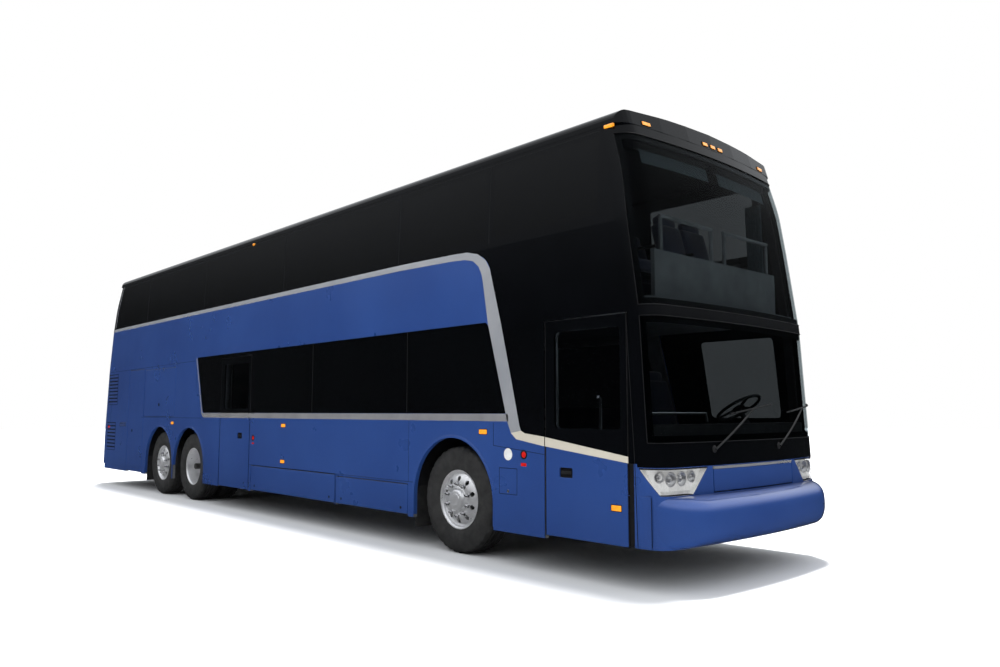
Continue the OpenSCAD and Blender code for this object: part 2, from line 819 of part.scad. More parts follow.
// Stairwell on the left, from the seat platform up to the upper deck
riser = (up_floor_z - platform_z) / 8;
tread = 225;
stair_x = mid_door_front - 150;
stair_y = [aisle_half + 70, inner_half - 130];
stair_end = stair_x + 8 * tread;

module lower_deck() {
    aisle = aisle_half + floor_t;
    color(trim_grey) {
        difference() {
            union() {
                // Aisle between raised seat platforms
                translate([bogie_front + step_t, 0, 0]) rotate([90, 0, 90])
                    linear_extrude(well_rear - bogie_front - 2 * step_t)
                        polygon([[-inner_half, platform_z - floor_t], [-aisle, platform_z - floor_t],
                            [-aisle, deck_low_z], [aisle, deck_low_z],
                            [aisle, platform_z - floor_t], [inner_half, platform_z - floor_t],
                            [inner_half, platform_z], [aisle_half, platform_z],
                            [aisle_half, low_floor_z], [-aisle_half, low_floor_z],
                            [-aisle_half, platform_z], [-inner_half, platform_z]]);
                // Step inside the middle door
                translate([mid_door_rear, -inner_half, deck_low_z])
                    cube([mid_door_box[2], inner_half - aisle_half, floor_t]);
                // Cab floor over the front axle, and the driver's floor ahead of it
                translate([well_rear - step_t, -housing_in, cab_z])
                    cube([2 * housing_half + step_t, 2 * housing_in, 40]);
                intersection() {
                    translate([well_front, -aisle_half, cab_z])
                        cube([front_overhang, inner_half + aisle_half, 40]);
                    front_prism(LOW, wall + seam, 3000);
                }
                // Entrance step inside the front door
                intersection() {
                    translate([well_front, -inner_half, deck_low_z])
                        cube([front_overhang, inner_half - aisle_half, floor_t]);
                    front_prism(LOW, wall + seam, 3000);
                }
                translate([well_front, -aisle_half - 20, deck_low_z])
                    cube([1500, 20, cab_z + 40 - deck_low_z]);
                translate([well_front, -inner_half, deck_low_z])
                    cube([20, inner_half - aisle_half, cab_z + 40 - deck_low_z]);
                // Luggage floor above the rear wheels, between two bulkheads
                translate([luggage_rear, -inner_half, housing_z + housing_t])
                    cube([bogie_front - luggage_rear + step_t, 2 * inner_half, floor_t]);
                for (x = [luggage_rear, bogie_front])
                    let (z = x == bogie_front ? platform_z - floor_t : housing_z + housing_t)
                        translate([x, -inner_half, z])
                            cube([step_t, 2 * inner_half, up_floor_z - floor_t - z]);
            }
            // Doorway well: no seat platform inside the middle door
            translate([mid_door_rear, -inner_half - 1, low_floor_z])
                cube([mid_door_box[2], inner_half - aisle_half + 2, platform_z]);
            translate([bogie_front - 1, -housing_in, 0])
                cube([step_t + 2, 2 * housing_in, rear_rail_z + rail_h]);
        }
    }
}

module upper_deck() {
    color(trim_grey) difference() {
        intersection() {
            translate([rear_x, -inner_half, up_floor_z - floor_t])
                cube([length, 2 * inner_half, floor_t]);
            whole_plan(UPPER, wall + seam);
        }
        translate([stair_x + 2 * tread, stair_y[0], 0])
            cube([stair_end - stair_x - 2 * tread, stair_y[1] - stair_y[0], height]);
    }
}

// Closed flight: treads on top, a sloping soffit below
module stairs() {
    soffit = 220;
    color(trim_grey) translate([0, stair_y[1], 0]) rotate([90, 0, 0])
        linear_extrude(stair_y[1] - stair_y[0])
            polygon(concat([[stair_x, platform_z]],
                [for (i = [0 : 6]) each [[stair_x + i * tread, platform_z + (i + 1) * riser],
                    [stair_x + (i + 1) * tread, platform_z + (i + 1) * riser]]],
                [[stair_x + 7 * tread, up_floor_z - seam], [stair_end, up_floor_z - seam],
                 [stair_end, up_floor_z - soffit], [stair_x + soffit * 1.6, platform_z]]));
}

// ---- interior ----

dash_x = axle_x + 2120;
dash_top = 1290;
wheel_at = [axle_x + 2010, 720, 1430];
wheel_tilt = 32;
driver_x = axle_x + 1330;

module dashboard() {
    color(black) difference() {
        intersection() {
            translate([0, inner_half, 0]) rotate([90, 0, 0]) union() {
                linear_extrude(inner_half + aisle_half - 60)
                    polygon([[dash_x + 40, cab_top], [dash_x, 1000], [dash_x + 30, 1200],
                        [dash_x + 90, dash_top], [front_x, dash_top], [front_x, cab_top]]);
                linear_extrude(2 * inner_half)
                    polygon([[dash_x + 90, 1010], [dash_x + 60, 1180], [dash_x + 90, dash_top],
                        [front_x, dash_top], [front_x, 1010]]);
            }
            union() {
                intersection() { slab(0, levels[WAIST][0]); front_prism(LOW, wall + seam, 3000); }
                intersection() { slab(levels[WAIST][0], 2000); front_prism(WAIST, wall + seam, 3000); }
            }
        }
        steering_place() translate([0, 0, -500]) cylinder(r = 26, h = 600, $fn = 32);
    }
}

module steering_place() {
    translate(wheel_at) rotate([0, -wheel_tilt, 0]) children();
}

module steering_wheel() {
    color(black) steering_place() {
        rotate_extrude($fn = 64) translate([225, 0]) circle(r = 15, $fn = 24);
        cylinder(r = 60, h = 24, center = true, $fn = 32);
        for (a = [90, 210, 330]) rotate([0, 0, a]) translate([0, -14, -8]) cube([225, 28, 16]);
        translate([0, 0, -260]) cylinder(r = 25.7, h = 260, $fn = 32);
    }
}

// One seat's outline from the side: x forward from the cushion's middle, z from the floor
seat_profile = [[-70, 0], [90, 0], [90, 330], [240, 350], [240, 450], [-150, 440],
    [-330, 1130], [-410, 1120], [-250, 330], [-70, 330]];

module seat(x, y0, w, z) {
    translate([x, y0 + w, z]) rotate([90, 0, 0]) linear_extrude(w) polygon(seat_profile);
}

module driver_seat() {
    color(seat_blue) seat(driver_x, wheel_at.y - 240, 480, cab_top);
}

seat_w = 900;
seat_y = inner_half - 40 - seat_w;
low_rows = floor((well_rear - mid_door_front - 700) / seat_pitch);

module seat_row(x, s, z) {
    seat(x, s > 0 ? seat_y : -seat_y - seat_w, seat_w, z);
}

module seats_lower() {
    color(seat_blue) for (i = [0 : low_rows - 1]) {
        x = well_rear - 380 - i * seat_pitch;
        seat_row(x, -1, platform_z);
        if (x - 420 > stair_end) seat_row(x, 1, platform_z);
    }
}

up_front_x = front_line(up_floor_z) - 520;
up_rows = floor((up_front_x - rear_x - 1000) / seat_pitch) + 1;

module seats_upper() {
    color(seat_blue) for (i = [0 : up_rows - 1]) {
        x = up_front_x - i * seat_pitch;
        seat_row(x, -1, up_floor_z);
        if (x - 440 > stair_end || x + 260 < stair_x + 2 * tread) seat_row(x, 1, up_floor_z);
    }
}

// Padded ledge and tubular rails ahead of the front row of the upper deck
rail_r = 17;
module guard_rails() {
    x = up_front_x + 560;
    color(trim_grey) {
        translate([x, -1000, up_floor_z]) cube([40, 2000, 420]);
        for (s = [-1, 1]) for (y = [110, 880]) {
            translate([x + 20, s * y, up_floor_z + 420]) cylinder(r = rail_r, h = 300, $fn = 24);
        }
        for (s = [-1, 1]) translate([x + 20, 0, up_floor_z + 720])
            y_cylinder(rail_r, s > 0 ? 93 : -897, s > 0 ? 897 : -93);
    }
}

// ---- doors and flaps ----

pin_r = 10;
eye_r = 24;
arm_t = 20;
post_r = 22;
pivot_y = -(inner_half - door_pivot_in);
arm_levels = [560, 1130];
front_pivot = front_door_front - 90;
mid_pivot = mid_door_rear + 90;

// Post with two arms. "d" is the way the arms point when the door is shut.
module door_arm_set(x, d) {
    translate([x, pivot_y, low_floor_z + seam])
        cylinder(r = post_r, h = door_top_z - 60 - low_floor_z, $fn = 32);
    for (z = arm_levels) translate([x, pivot_y, z]) difference() {
        union() {
            translate([d > 0 ? 0 : -door_arm, -16, 0]) cube([door_arm, 32, arm_t]);
            translate([d * door_arm, 0, 0]) cylinder(r = eye_r, h = arm_t, $fn = 32);
        }
        translate([d * door_arm, 0, -1]) cylinder(r = pin_r + seam, h = arm_t + 2, $fn = 32);
    }
}

// Leaf with its window thinned to the glass, and the lugs that pin it to the arms
module passenger_door(box, x, d, window) {
    difference() {
        on_side(-1, 0, wall) panel_outline(box, gap);
        on_side(-1, glass, wall + 1) polygon(window);
    }
    for (z = arm_levels) translate([x + d * door_arm, pivot_y, z]) {
        translate([-20, -door_pivot_in, arm_t + seam])
            cube([40, door_pivot_in, 16]);
        translate([0, 0, arm_t + seam]) cylinder(r = eye_r, h = 16, $fn = 32);
        cylinder(r = pin_r, h = arm_t + seam + 1, $fn = 32);
    }
}

function window_in(box, side, z0, z1) = [
    [box[0] + side, z0], [box[0] + side, z1],
    [box[0] + box[2] - side, z1], [box[0] + box[2] - side, z0]];

module front_door() {
    color(paint) passenger_door(front_door_box, front_pivot, -1,
        window_in(front_door_box, 110, belt_z - 60, door_top_z - 110));
}
module front_door_arm() { color(steel_grey) door_arm_set(front_pivot, -1); }
module mid_door() {
    color(paint) passenger_door(mid_door_box, mid_pivot, 1,
        window_in(mid_door_box, 110, low_glass_z0, door_top_z - 110));
}
module mid_door_arm() { color(steel_grey) door_arm_set(mid_pivot, 1); }

flap_t = 40;
module side_flap(s, box, hinge = "top") {
    color(paint) on_side(s, 0, flap_t) flap_outline(box, hinge);
}
module locker_flap_front_right() { side_flap(-1, locker_front); }
module locker_flap_rear_right() { side_flap(-1, locker_rear); }
module locker_flap_front_left() { side_flap(1, locker_front); }
module locker_flap_rear_left() { side_flap(1, locker_rear); }
module luggage_door_right() { side_flap(-1, luggage); }
module luggage_door_left() { side_flap(1, luggage); }
module service_door() { side_flap(-1, service, "front"); }

underframe();
engine_block();
axles();
knuckle_left();
knuckle_right();
tyre_front_left();
tyre_front_right();
tyre_drive_left();
tyre_drive_right();
tyre_tag_left();
tyre_tag_right();
wheel_front_left();
wheel_front_right();
wheel_drive_left();
wheel_drive_right();
wheel_tag_left();
wheel_tag_right();
side_right();
side_left();
lower_side_glass();
upper_side_glass();
roof();
front_frame();
windscreens();
front_mask();
front_flap();
front_bumper();
lamps();
rear_panel();
rear_window();
engine_door();
lower_deck();
upper_deck();
stairs();
wheel_housings();
mud_flaps();
dashboard();
steering_wheel();
driver_seat();
seats_lower();
seats_upper();
guard_rails();
front_door();
front_door_arm();
mid_door();
mid_door_arm();
locker_flap_front_right();
locker_flap_rear_right();
locker_flap_front_left();
locker_flap_rear_left();
luggage_door_right();
luggage_door_left();
service_door();
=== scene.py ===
"""Looks of the double-deck coach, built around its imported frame. Metres, +X forward, +Z up."""
import math

import bmesh
import bpy
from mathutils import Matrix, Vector


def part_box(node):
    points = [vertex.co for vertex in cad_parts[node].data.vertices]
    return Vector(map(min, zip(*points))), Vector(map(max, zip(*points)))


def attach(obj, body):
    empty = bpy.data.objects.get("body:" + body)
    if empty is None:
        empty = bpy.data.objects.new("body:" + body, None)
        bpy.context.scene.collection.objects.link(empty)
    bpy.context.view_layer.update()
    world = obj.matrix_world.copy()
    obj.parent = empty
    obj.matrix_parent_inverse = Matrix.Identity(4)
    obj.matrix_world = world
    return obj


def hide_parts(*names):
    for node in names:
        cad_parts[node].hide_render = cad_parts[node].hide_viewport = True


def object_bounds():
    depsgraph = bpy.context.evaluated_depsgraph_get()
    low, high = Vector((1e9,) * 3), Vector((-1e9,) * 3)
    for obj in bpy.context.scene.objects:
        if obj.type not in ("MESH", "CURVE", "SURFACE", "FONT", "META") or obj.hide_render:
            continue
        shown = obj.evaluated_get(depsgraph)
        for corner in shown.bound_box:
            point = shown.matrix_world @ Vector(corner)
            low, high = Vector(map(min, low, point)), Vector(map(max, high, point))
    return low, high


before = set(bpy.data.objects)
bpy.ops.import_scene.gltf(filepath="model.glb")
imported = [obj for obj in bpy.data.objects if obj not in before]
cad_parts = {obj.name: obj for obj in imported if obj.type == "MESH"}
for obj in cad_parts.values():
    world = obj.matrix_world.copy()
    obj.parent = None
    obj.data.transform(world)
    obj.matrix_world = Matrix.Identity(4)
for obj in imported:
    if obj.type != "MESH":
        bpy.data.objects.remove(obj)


def plain(bounds):
    return [[float(v) for v in corner] for corner in bounds]


CAD_BOX = plain(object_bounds())

# ---- places, from the frame ------------------------------------------------------------

LOW, HIGH = CAD_BOX
REAR, FRONT = LOW[0], HIGH[0]
HALF_W = HIGH[1]
TOP = HIGH[2]


def box(node):
    low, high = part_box(node)
    return Vector(low), Vector(high)


def middle(node):
    low, high = box(node)
    return (low + high) / 2


AXLE = middle("tyre_front_left").x
DRIVE = middle("tyre_drive_left").x
TAG = middle("tyre_tag_left").x
HUB_Z = middle("tyre_front_left").z
TYRE_R = box("tyre_front_left")[1].x - AXLE
TYRE_W = box("tyre_front_left")[1].y - box("tyre_front_left")[0].y
WHEEL_Y = middle("tyre_front_left").y
SKIRT = box("side_right")[0].z
GUTTER = box("upper_side_glass")[1].z
PANEL_TOP = 2.97
LEAN = 0.037 / (GUTTER - PANEL_TOP)

# Front and rear profiles: height, and distance in from the end of the frame
FRONT_PROFILE = [(0.3, 0.172), (0.96, 0.19), (2.2, 0.26), (GUTTER - 0.42, 0.425), (TOP, 0.59)]
REAR_PROFILE = [(0.3, 0.0), (0.96, 0.008), (2.2, 0.122), (GUTTER - 0.42, 0.35), (TOP, 0.65)]
BOW_R, CORNER_R = 9.0, 0.2
REAR_BOW_R, REAR_CORNER_R = 18.0, 0.16


def profile(rows, z):
    """Distance in from the end at a height, with the bends softened."""
    soft = 0.09
    total = 0.0
    steps = 7
    for k in range(steps):
        h = z + soft * (2 * k / (steps - 1) - 1)
        for (z0, d0), (z1, d1) in zip(rows, rows[1:]):
            if h <= z1 or z1 == rows[-1][0]:
                total += d0 + (h - z0) * (d1 - d0) / (z1 - z0)
                break
    return total / steps


def half_at(z):
    """Half the width at a height: the windows' band leans in above the painted panels."""
    return HALF_W - max(0.0, z - PANEL_TOP) * LEAN


def plan(s, bow, corner):
    """A point of the end's plan a distance s along it from the middle: how far behind
    the middle, how far to the side, and the outward normal's angle."""
    turn = math.asin((HALF_W - corner) / (bow - corner))
    a = abs(s)
    if a < bow * turn:
        angle = a / bow
        back, side = bow * (1 - math.cos(angle)), bow * math.sin(angle)
    else:
        cx, cy = bow - (bow - corner) * math.cos(turn), HALF_W - corner
        angle = turn + (a - bow * turn) / corner
        if angle < math.pi / 2:
            back, side = cx - corner * math.cos(angle), cy + corner * math.sin(angle)
        else:
            over = (angle - math.pi / 2) * corner
            angle = math.pi / 2
            back, side = cx + over, HALF_W
    return back, math.copysign(side, s), math.copysign(angle, s)


def plan_s(y, bow=BOW_R, corner=CORNER_R):
    """Distance along the plan at which it reaches y on the bow."""
    turn = math.asin((HALF_W - corner) / (bow - corner))
    if abs(y) <= bow * math.sin(turn):
        return math.copysign(bow * math.asin(abs(y) / bow), y)
    angle = math.asin(min(1.0, (abs(y) - HALF_W + corner) / corner))
    return math.copysign(bow * turn + (angle - turn) * corner, y)


# Distance along the front's plan at which the corner has turned into the flat side
FRONT_TURN = math.asin((HALF_W - CORNER_R) / (BOW_R - CORNER_R))
SIDE_S = BOW_R * FRONT_TURN + CORNER_R * (math.pi / 2 - FRONT_TURN)


def front_point(s, z, out=0.0):
    """A point of the front, s along its plan, moved outwards by out."""
    back, side, angle = plan(s, BOW_R, CORNER_R)
    x = FRONT - profile(FRONT_PROFILE, z) - back + out * math.cos(angle)
    y = side * half_at(z) / HALF_W + out * math.sin(angle)
    return Vector((x, y, z))


def rear_point(s, z, out=0.0):
    """The same for the rear, which is flatter and has a tighter corner."""
    back, side, angle = plan(s, REAR_BOW_R, REAR_CORNER_R)
    x = REAR + profile(REAR_PROFILE, z) + back - out * math.cos(angle)
    y = side * half_at(z) / HALF_W + out * math.sin(angle)
    return Vector((x, y, z))


# ---- materials -------------------------------------------------------------------------


class Graph:
    """A material's node tree, with short calls for the nodes used here."""

    def __init__(self, name):
        self.material = bpy.data.materials.new(name)
        self.material.use_nodes = True
        self.tree = self.material.node_tree
        self.shader = self.tree.nodes["Principled BSDF"]
        self.coords = self.tree.nodes.new("ShaderNodeTexCoord").outputs["Object"]

    def node(self, kind, **values):
        node = self.tree.nodes.new(kind)
        for key, value in values.items():
            if key in node.inputs:
                node.inputs[key].default_value = value
            else:
                setattr(node, key, value)
        return node

    def link(self, a, b):
        self.tree.links.new(a, b)

    def noise(self, scale, detail=4.0, rough=0.55):
        node = self.node("ShaderNodeTexNoise", Scale=scale, Detail=detail, Roughness=rough)
        self.link(self.coords, node.inputs["Vector"])
        return node.outputs["Fac"]

    def ramp(self, value, low, high, a, b):
        """Maps value from low..high to a..b; a and b are numbers."""
        node = self.node("ShaderNodeMapRange")
        node.inputs["From Min"].default_value = low
        node.inputs["From Max"].default_value = high
        node.inputs["To Min"].default_value = a
        node.inputs["To Max"].default_value = b
        self.link(value, node.inputs["Value"])
        return node.outputs["Result"]

    def mix(self, factor, a, b):
        node = self.node("ShaderNodeMix", data_type="RGBA")
        node.inputs[6].default_value = (*a, 1)
        node.inputs[7].default_value = (*b, 1)
        self.link(factor, node.inputs[0])
        return node.outputs[2]

    def bump(self, height, strength, distance=0.002):
        node = self.node("ShaderNodeBump", Strength=strength, Distance=distance)
        self.link(height, node.inputs["Height"])
        self.link(node.outputs["Normal"], self.shader.inputs["Normal"])

    def set(self, **values):
        for key, value in values.items():
            self.shader.inputs[key.replace("_", " ")].default_value = value


def varied(name, dark, light, rough, scale=6.0, fine=220.0, bump=0.1, spread=0.08, **sockets):
    """Base finish: colour and roughness drift with a coarse noise, and a fine noise bumps it."""
    g = Graph(name)
    coarse = g.noise(scale)
    g.link(g.mix(g.ramp(coarse, 0.3, 0.7, 0, 1), dark, light), g.shader.inputs["Base Color"])
    g.link(g.ramp(g.noise(scale * 2.3), 0.3, 0.7, rough - spread, rough + spread),
           g.shader.inputs["Roughness"])
    g.bump(g.noise(fine, 3.0), bump)
    g.set(**sockets)
    return g


def metallic_paint():
    g = varied("coach_blue", (0.019, 0.061, 0.25), (0.027, 0.08, 0.3), 0.3, scale=0.7, fine=2.2,
               bump=0.02, spread=0.04, Metallic=0.3, Coat_Weight=1.0, Coat_Roughness=0.035)
    flakes = g.node("ShaderNodeTexVoronoi", Scale=900.0)
    g.link(g.coords, flakes.inputs["Vector"])
    tint = g.ramp(flakes.outputs["Color"], 0, 1, 0.75, 1.35)
    scaled = g.node("ShaderNodeVectorMath", operation="SCALE")
    base = g.shader.inputs["Base Color"].links[0].from_socket
    g.link(base, scaled.inputs[0])
    g.link(tint, scaled.inputs["Scale"])
    g.link(scaled.outputs["Vector"], g.shader.inputs["Base Color"])
    return g.material


def black_gloss():
    return varied("black_gloss", (0.0012, 0.0014, 0.0018), (0.0022, 0.0026, 0.0034), 0.06,
                  scale=1.1, fine=1.6, bump=0.01, spread=0.02, Specular_IOR_Level=0.12).material


def tinted(name, tint, clear, rough=0.02):
    """Dark glass: a share of the light goes straight through, tinted."""
    g = Graph(name)
    g.set(Specular_IOR_Level=0.16)
    g.link(g.ramp(g.noise(3.0), 0.3, 0.7, rough, rough + 0.015), g.shader.inputs["Roughness"])
    g.link(g.mix(g.noise(0.9), (0.001, 0.0012, 0.0015), (0.002, 0.0024, 0.003)),
           g.shader.inputs["Base Color"])
    g.bump(g.noise(1.4, 1.0), 0.02)
    clear_node = g.node("ShaderNodeBsdfTransparent", Color=(*tint, 1))
    mixed = g.node("ShaderNodeMixShader")
    share = g.ramp(g.noise(0.7, 1.0), 0.3, 0.7, clear - 0.02, clear + 0.02)
    g.link(share, mixed.inputs[0])
    g.link(g.shader.outputs[0], mixed.inputs[1])
    g.link(clear_node.outputs[0], mixed.inputs[2])
    g.link(mixed.outputs[0], g.tree.nodes["Material Output"].inputs["Surface"])
    return g.material


def lens(name, dark, light):
    """Moulded lamp lens with fine ribs and a little light behind it."""
    g = varied(name, dark, light, 0.12, scale=30.0, fine=400.0, bump=0.1, spread=0.04,
               Coat_Weight=0.8, Emission_Strength=0.25)
    g.shader.inputs["Emission Color"].default_value = (*light, 1)
    wave = g.node("ShaderNodeTexWave", Scale=26.0, bands_direction="Z")
    g.link(g.coords, wave.inputs["Vector"])
    g.bump(wave.outputs["Fac"], 0.25, 0.001)
    return g.material


def seat_cloth():
    g = Graph("seat_cloth")
    weave = g.node("ShaderNodeTexChecker", Scale=90.0)
    g.link(g.coords, weave.inputs["Vector"])
    g.link(g.mix(weave.outputs["Fac"], (0.014, 0.02, 0.05), (0.035, 0.04, 0.075)),
           g.shader.inputs["Base Color"])
    g.link(g.ramp(g.noise(60), 0.3, 0.7, 0.8, 0.95), g.shader.inputs["Roughness"])
    g.bump(g.noise(500), 0.5)
    g.set(Sheen_Weight=0.4)
    return g.material


def brushed(name, dark, light, rough, scale=40.0):
    return varied(name, dark, light, rough, scale=scale, fine=350.0, bump=0.04, spread=0.05,
                  Metallic=1.0)


PAINT = metallic_paint()
BLACK = black_gloss()
GLASS = tinted("side_glass", (0.3, 0.32, 0.34), 0.12)
SCREEN = tinted("windscreen_glass", (0.72, 0.75, 0.76), 0.88)
DOOR_GLASS = tinted("door_glass", (0.72, 0.74, 0.76), 0.84)
CAB_GLASS = tinted("cab_side_glass", (0.42, 0.43, 0.44), 0.6)
CHROME = varied("bright_trim", (0.5, 0.5, 0.52), (0.64, 0.64, 0.66), 0.16, scale=3.0, fine=5.0,
                bump=0.03, spread=0.05, Metallic=0.7).material
SILVER = varied("silver_stripe", (0.5, 0.52, 0.56), (0.62, 0.63, 0.66), 0.2, scale=1.5,
                fine=3.0, bump=0.03, spread=0.05, Metallic=0.6).material
CREAM = varied("belt_stripe", (0.5, 0.46, 0.38), (0.56, 0.52, 0.43), 0.3, scale=2.0, fine=4.0,
               bump=0.02, spread=0.04, Coat_Weight=0.6).material
ALLOY = varied("polished_alloy", (0.74, 0.74, 0.75), (0.88, 0.88, 0.89), 0.33, scale=12.0,
               fine=260.0, bump=0.04, spread=0.06, Metallic=0.72).material
NUT = brushed("nut_steel", (0.45, 0.45, 0.46), (0.65, 0.65, 0.66), 0.22, 80.0).material
RUBBER = varied("tyre_rubber", (0.012, 0.012, 0.012), (0.03, 0.029, 0.028), 0.78, scale=9.0,
                bump=0.45).material
SEAL = varied("seal_rubber", (0.004, 0.004, 0.005), (0.008, 0.008, 0.009), 0.6, scale=14.0,
              bump=0.2, Specular_IOR_Level=0.2).material
PLASTIC = varied("black_plastic", (0.008, 0.008, 0.009), (0.016, 0.016, 0.017), 0.55, scale=9.0,
                 fine=600.0, bump=0.35, Specular_IOR_Level=0.3).material
GREY = varied("interior_trim", (0.09, 0.095, 0.1), (0.14, 0.145, 0.15), 0.62, scale=5.0,
              fine=420.0, bump=0.3).material
CHASSIS = varied("chassis_paint", (0.012, 0.012, 0.013), (0.04, 0.037, 0.034), 0.62, scale=4.0,
                 fine=90.0, bump=0.4).material
IRON = varied("engine_iron", (0.03, 0.03, 0.03), (0.07, 0.065, 0.06), 0.7, scale=5.0,
              bump=0.5).material
AMBER = lens("amber_lens", (0.75, 0.2, 0.01), (1.0, 0.4, 0.03))
RED = lens("red_lens", (0.3, 0.004, 0.004), (0.55, 0.012, 0.01))
CLEAR = lens("lamp_clear", (0.55, 0.55, 0.55), (0.8, 0.8, 0.78))
# Headlamp housing, pale, with a painted glow: its emission is painted light standing in for the light
# that the headlamp's shiny inside reflects
HOUSING_PAINTED_GLOW = varied("lamp_housing_painted_glow", (0.72, 0.72, 0.71), (0.9, 0.9, 0.89), 0.25, scale=24.0, fine=60.0,
                 bump=0.15, Emission_Color=(0.9, 0.9, 0.88, 1), Emission_Strength=0.3).material
WHITE = varied("white_cap", (0.62, 0.62, 0.6), (0.75, 0.75, 0.73), 0.3, scale=20.0).material
CLOTH = seat_cloth()
CURTAIN = varied("curtain_cloth", (0.03, 0.045, 0.05), (0.07, 0.09, 0.1), 0.9, scale=30.0,
                 bump=0.5).material

# ---- mesh helpers ----------------------------------------------------------------------


def finish_piece(mesh, name, material, body, smooth_angle=35):
    for polygon in mesh.polygons:
        polygon.use_smooth = True
    mesh.set_sharp_from_angle(angle=math.radians(smooth_angle))
    mesh.materials.clear()
    mesh.materials.append(material)
    piece = bpy.data.objects.new(name, mesh)
    bpy.context.scene.collection.objects.link(piece)
    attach(piece, body)
    return piece


def piece_of(bm, name, material, body="body", smooth_angle=35):
    """Ends a bmesh as a piece in its material, riding on a body of the frame."""
    bmesh.ops.recalc_face_normals(bm, faces=bm.faces)
    mesh = bpy.data.meshes.new(name)
    bm.to_mesh(mesh)
    bm.free()
    return finish_piece(mesh, name, material, body, smooth_angle)


def fillet(points, radius, steps=5):
    """Rounds every corner of a closed outline with a short curve."""
    result = []
    count = len(points)
    for i, point in enumerate(points):
        p = Vector(point)
        a = Vector(points[i - 1]) - p
        b = Vector(points[(i + 1) % count]) - p
        reach = min(radius, a.length * 0.45, b.length * 0.45)
        start, end = p + a.normalized() * reach, p + b.normalized() * reach
        for k in range(steps + 1):
            t = k / steps
            q = start * (1 - t) ** 2 + p * 2 * t * (1 - t) + end * t ** 2
            result.append((q.x, q.y))
    return result


def plate_mesh(loops, thickness, bevel):
    """A flat plate in x and y with rounded edges, its holes cut, centred on z = 0."""
    curve = bpy.data.curves.new("plate", "CURVE")
    curve.dimensions = "2D"
    curve.fill_mode = "BOTH"
    curve.extrude = max(1e-5, thickness / 2 - bevel)
    curve.bevel_depth = bevel
    curve.bevel_resolution = 1
    curve.offset = -bevel
    for loop in loops:
        spline = curve.splines.new("POLY")
        spline.points.add(len(loop) - 1)
        for point, (x, y) in zip(spline.points, loop):
            point.co = (x, y, 0, 1)
        spline.use_cyclic_u = True
    holder = bpy.data.objects.new("plate", curve)
    bpy.context.scene.collection.objects.link(holder)
    bpy.context.view_layer.update()
    mesh = bpy.data.meshes.new_from_object(
        holder.evaluated_get(bpy.context.evaluated_depsgraph_get()))
    bpy.data.objects.remove(holder)
    bpy.data.curves.remove(curve)
    return mesh


def side_plates(plates, side, name, material, body="body"):
    """Joins flat plates on one side. Each is (outlines, depth of its outer face behind the
    skin, thickness, bevel); side is -1 for the right and 1 for the left. Above the painted
    panels they follow the windows' lean."""
    bm = bmesh.new()
    for loops, depth, thickness, bevel in plates:
        mesh = plate_mesh(loops, thickness, bevel)
        for vertex in mesh.vertices:
            x, z, d = vertex.co
            y = half_at(z) - depth - thickness / 2 + d
            vertex.co = (x, side * y, z)
        bm.from_mesh(mesh)
        bpy.data.meshes.remove(mesh)
    bmesh.ops.remove_doubles(bm, verts=bm.verts, dist=1e-6)
    return piece_of(bm, name, material, body, 12)


def rect(x0, z0, x1, z1, radius=0.0, steps=4):
    points = [(x0, z0), (x1, z0), (x1, z1), (x0, z1)]
    return fillet(points, radius, steps) if radius else points


def ring_path(points, width):
    """An open ribbon of a given width along a line of points, as a closed outline."""
    left, right = [], []
    for i, point in enumerate(points):
        a = Vector(points[max(0, i - 1)])
        b = Vector(points[min(len(points) - 1, i + 1)])
        along = (b - a).normalized()
        normal = Vector((-along.y, along.x))
        w = width[i] if isinstance(width, (list, tuple)) else width
        left.append(tuple(Vector(point) + normal * w / 2))
        right.append(tuple(Vector(point) - normal * w / 2))
    return left + right[::-1]


def grid_patch(point, s_values, z_values, thickness, skip=None):
    """A curved sheet over a grid of (s, z), thickened inwards; skip(s, z) drops cells."""
    bm = bmesh.new()
    rows = []
    for z in z_values:
        rows.append([(bm.verts.new(point(s, z, 0.0)), bm.verts.new(point(s, z, -thickness)))
                     for s in s_values])
    keep = {}
    for j in range(len(z_values) - 1):
        for i in range(len(s_values) - 1):
            mid = ((s_values[i] + s_values[i + 1]) / 2, (z_values[j] + z_values[j + 1]) / 2)
            keep[i, j] = not (skip and skip(*mid))
    for (i, j), kept in keep.items():
        if not kept:
            continue
        a, b, c, d = rows[j][i], rows[j][i + 1], rows[j + 1][i + 1], rows[j + 1][i]
        bm.faces.new((a[0], b[0], c[0], d[0]))
        bm.faces.new((d[1], c[1], b[1], a[1]))
        for (p, q), other in (((a, b), (i, j - 1)), ((b, c), (i + 1, j)),
                              ((c, d), (i, j + 1)), ((d, a), (i - 1, j))):
            if not keep.get(other, False):
                bm.faces.new((p[1], q[1], q[0], p[0]))
    bmesh.ops.delete(bm, geom=[v for v in bm.verts if not v.link_faces], context="VERTS")
    return bm


def span(a, b, count):
    """count equal steps from a to b, both ends included."""
    return [a + (b - a) * i / count for i in range(count + 1)]


def tube(points, radius, segments=12):
    """A round bar along points."""
    bm = bmesh.new()
    rings = []
    for i, point in enumerate(points):
        p = Vector(point)
        a, b = Vector(points[max(0, i - 1)]), Vector(points[min(len(points) - 1, i + 1)])
        along = (b - a).normalized()
        u = along.orthogonal().normalized()
        if rings:
            u = (last_u - along * last_u.dot(along)).normalized()
        last_u = u
        v = along.cross(u)
        rings.append([bm.verts.new(p + radius * (math.cos(2 * math.pi * k / segments) * u
                                                 + math.sin(2 * math.pi * k / segments) * v))
                      for k in range(segments)])
    for r0, r1 in zip(rings, rings[1:]):
        for k in range(segments):
            bm.faces.new((r0[k], r0[(k + 1) % segments], r1[(k + 1) % segments], r1[k]))
    bm.faces.new(rings[0][::-1])
    bm.faces.new(rings[-1])
    return bm


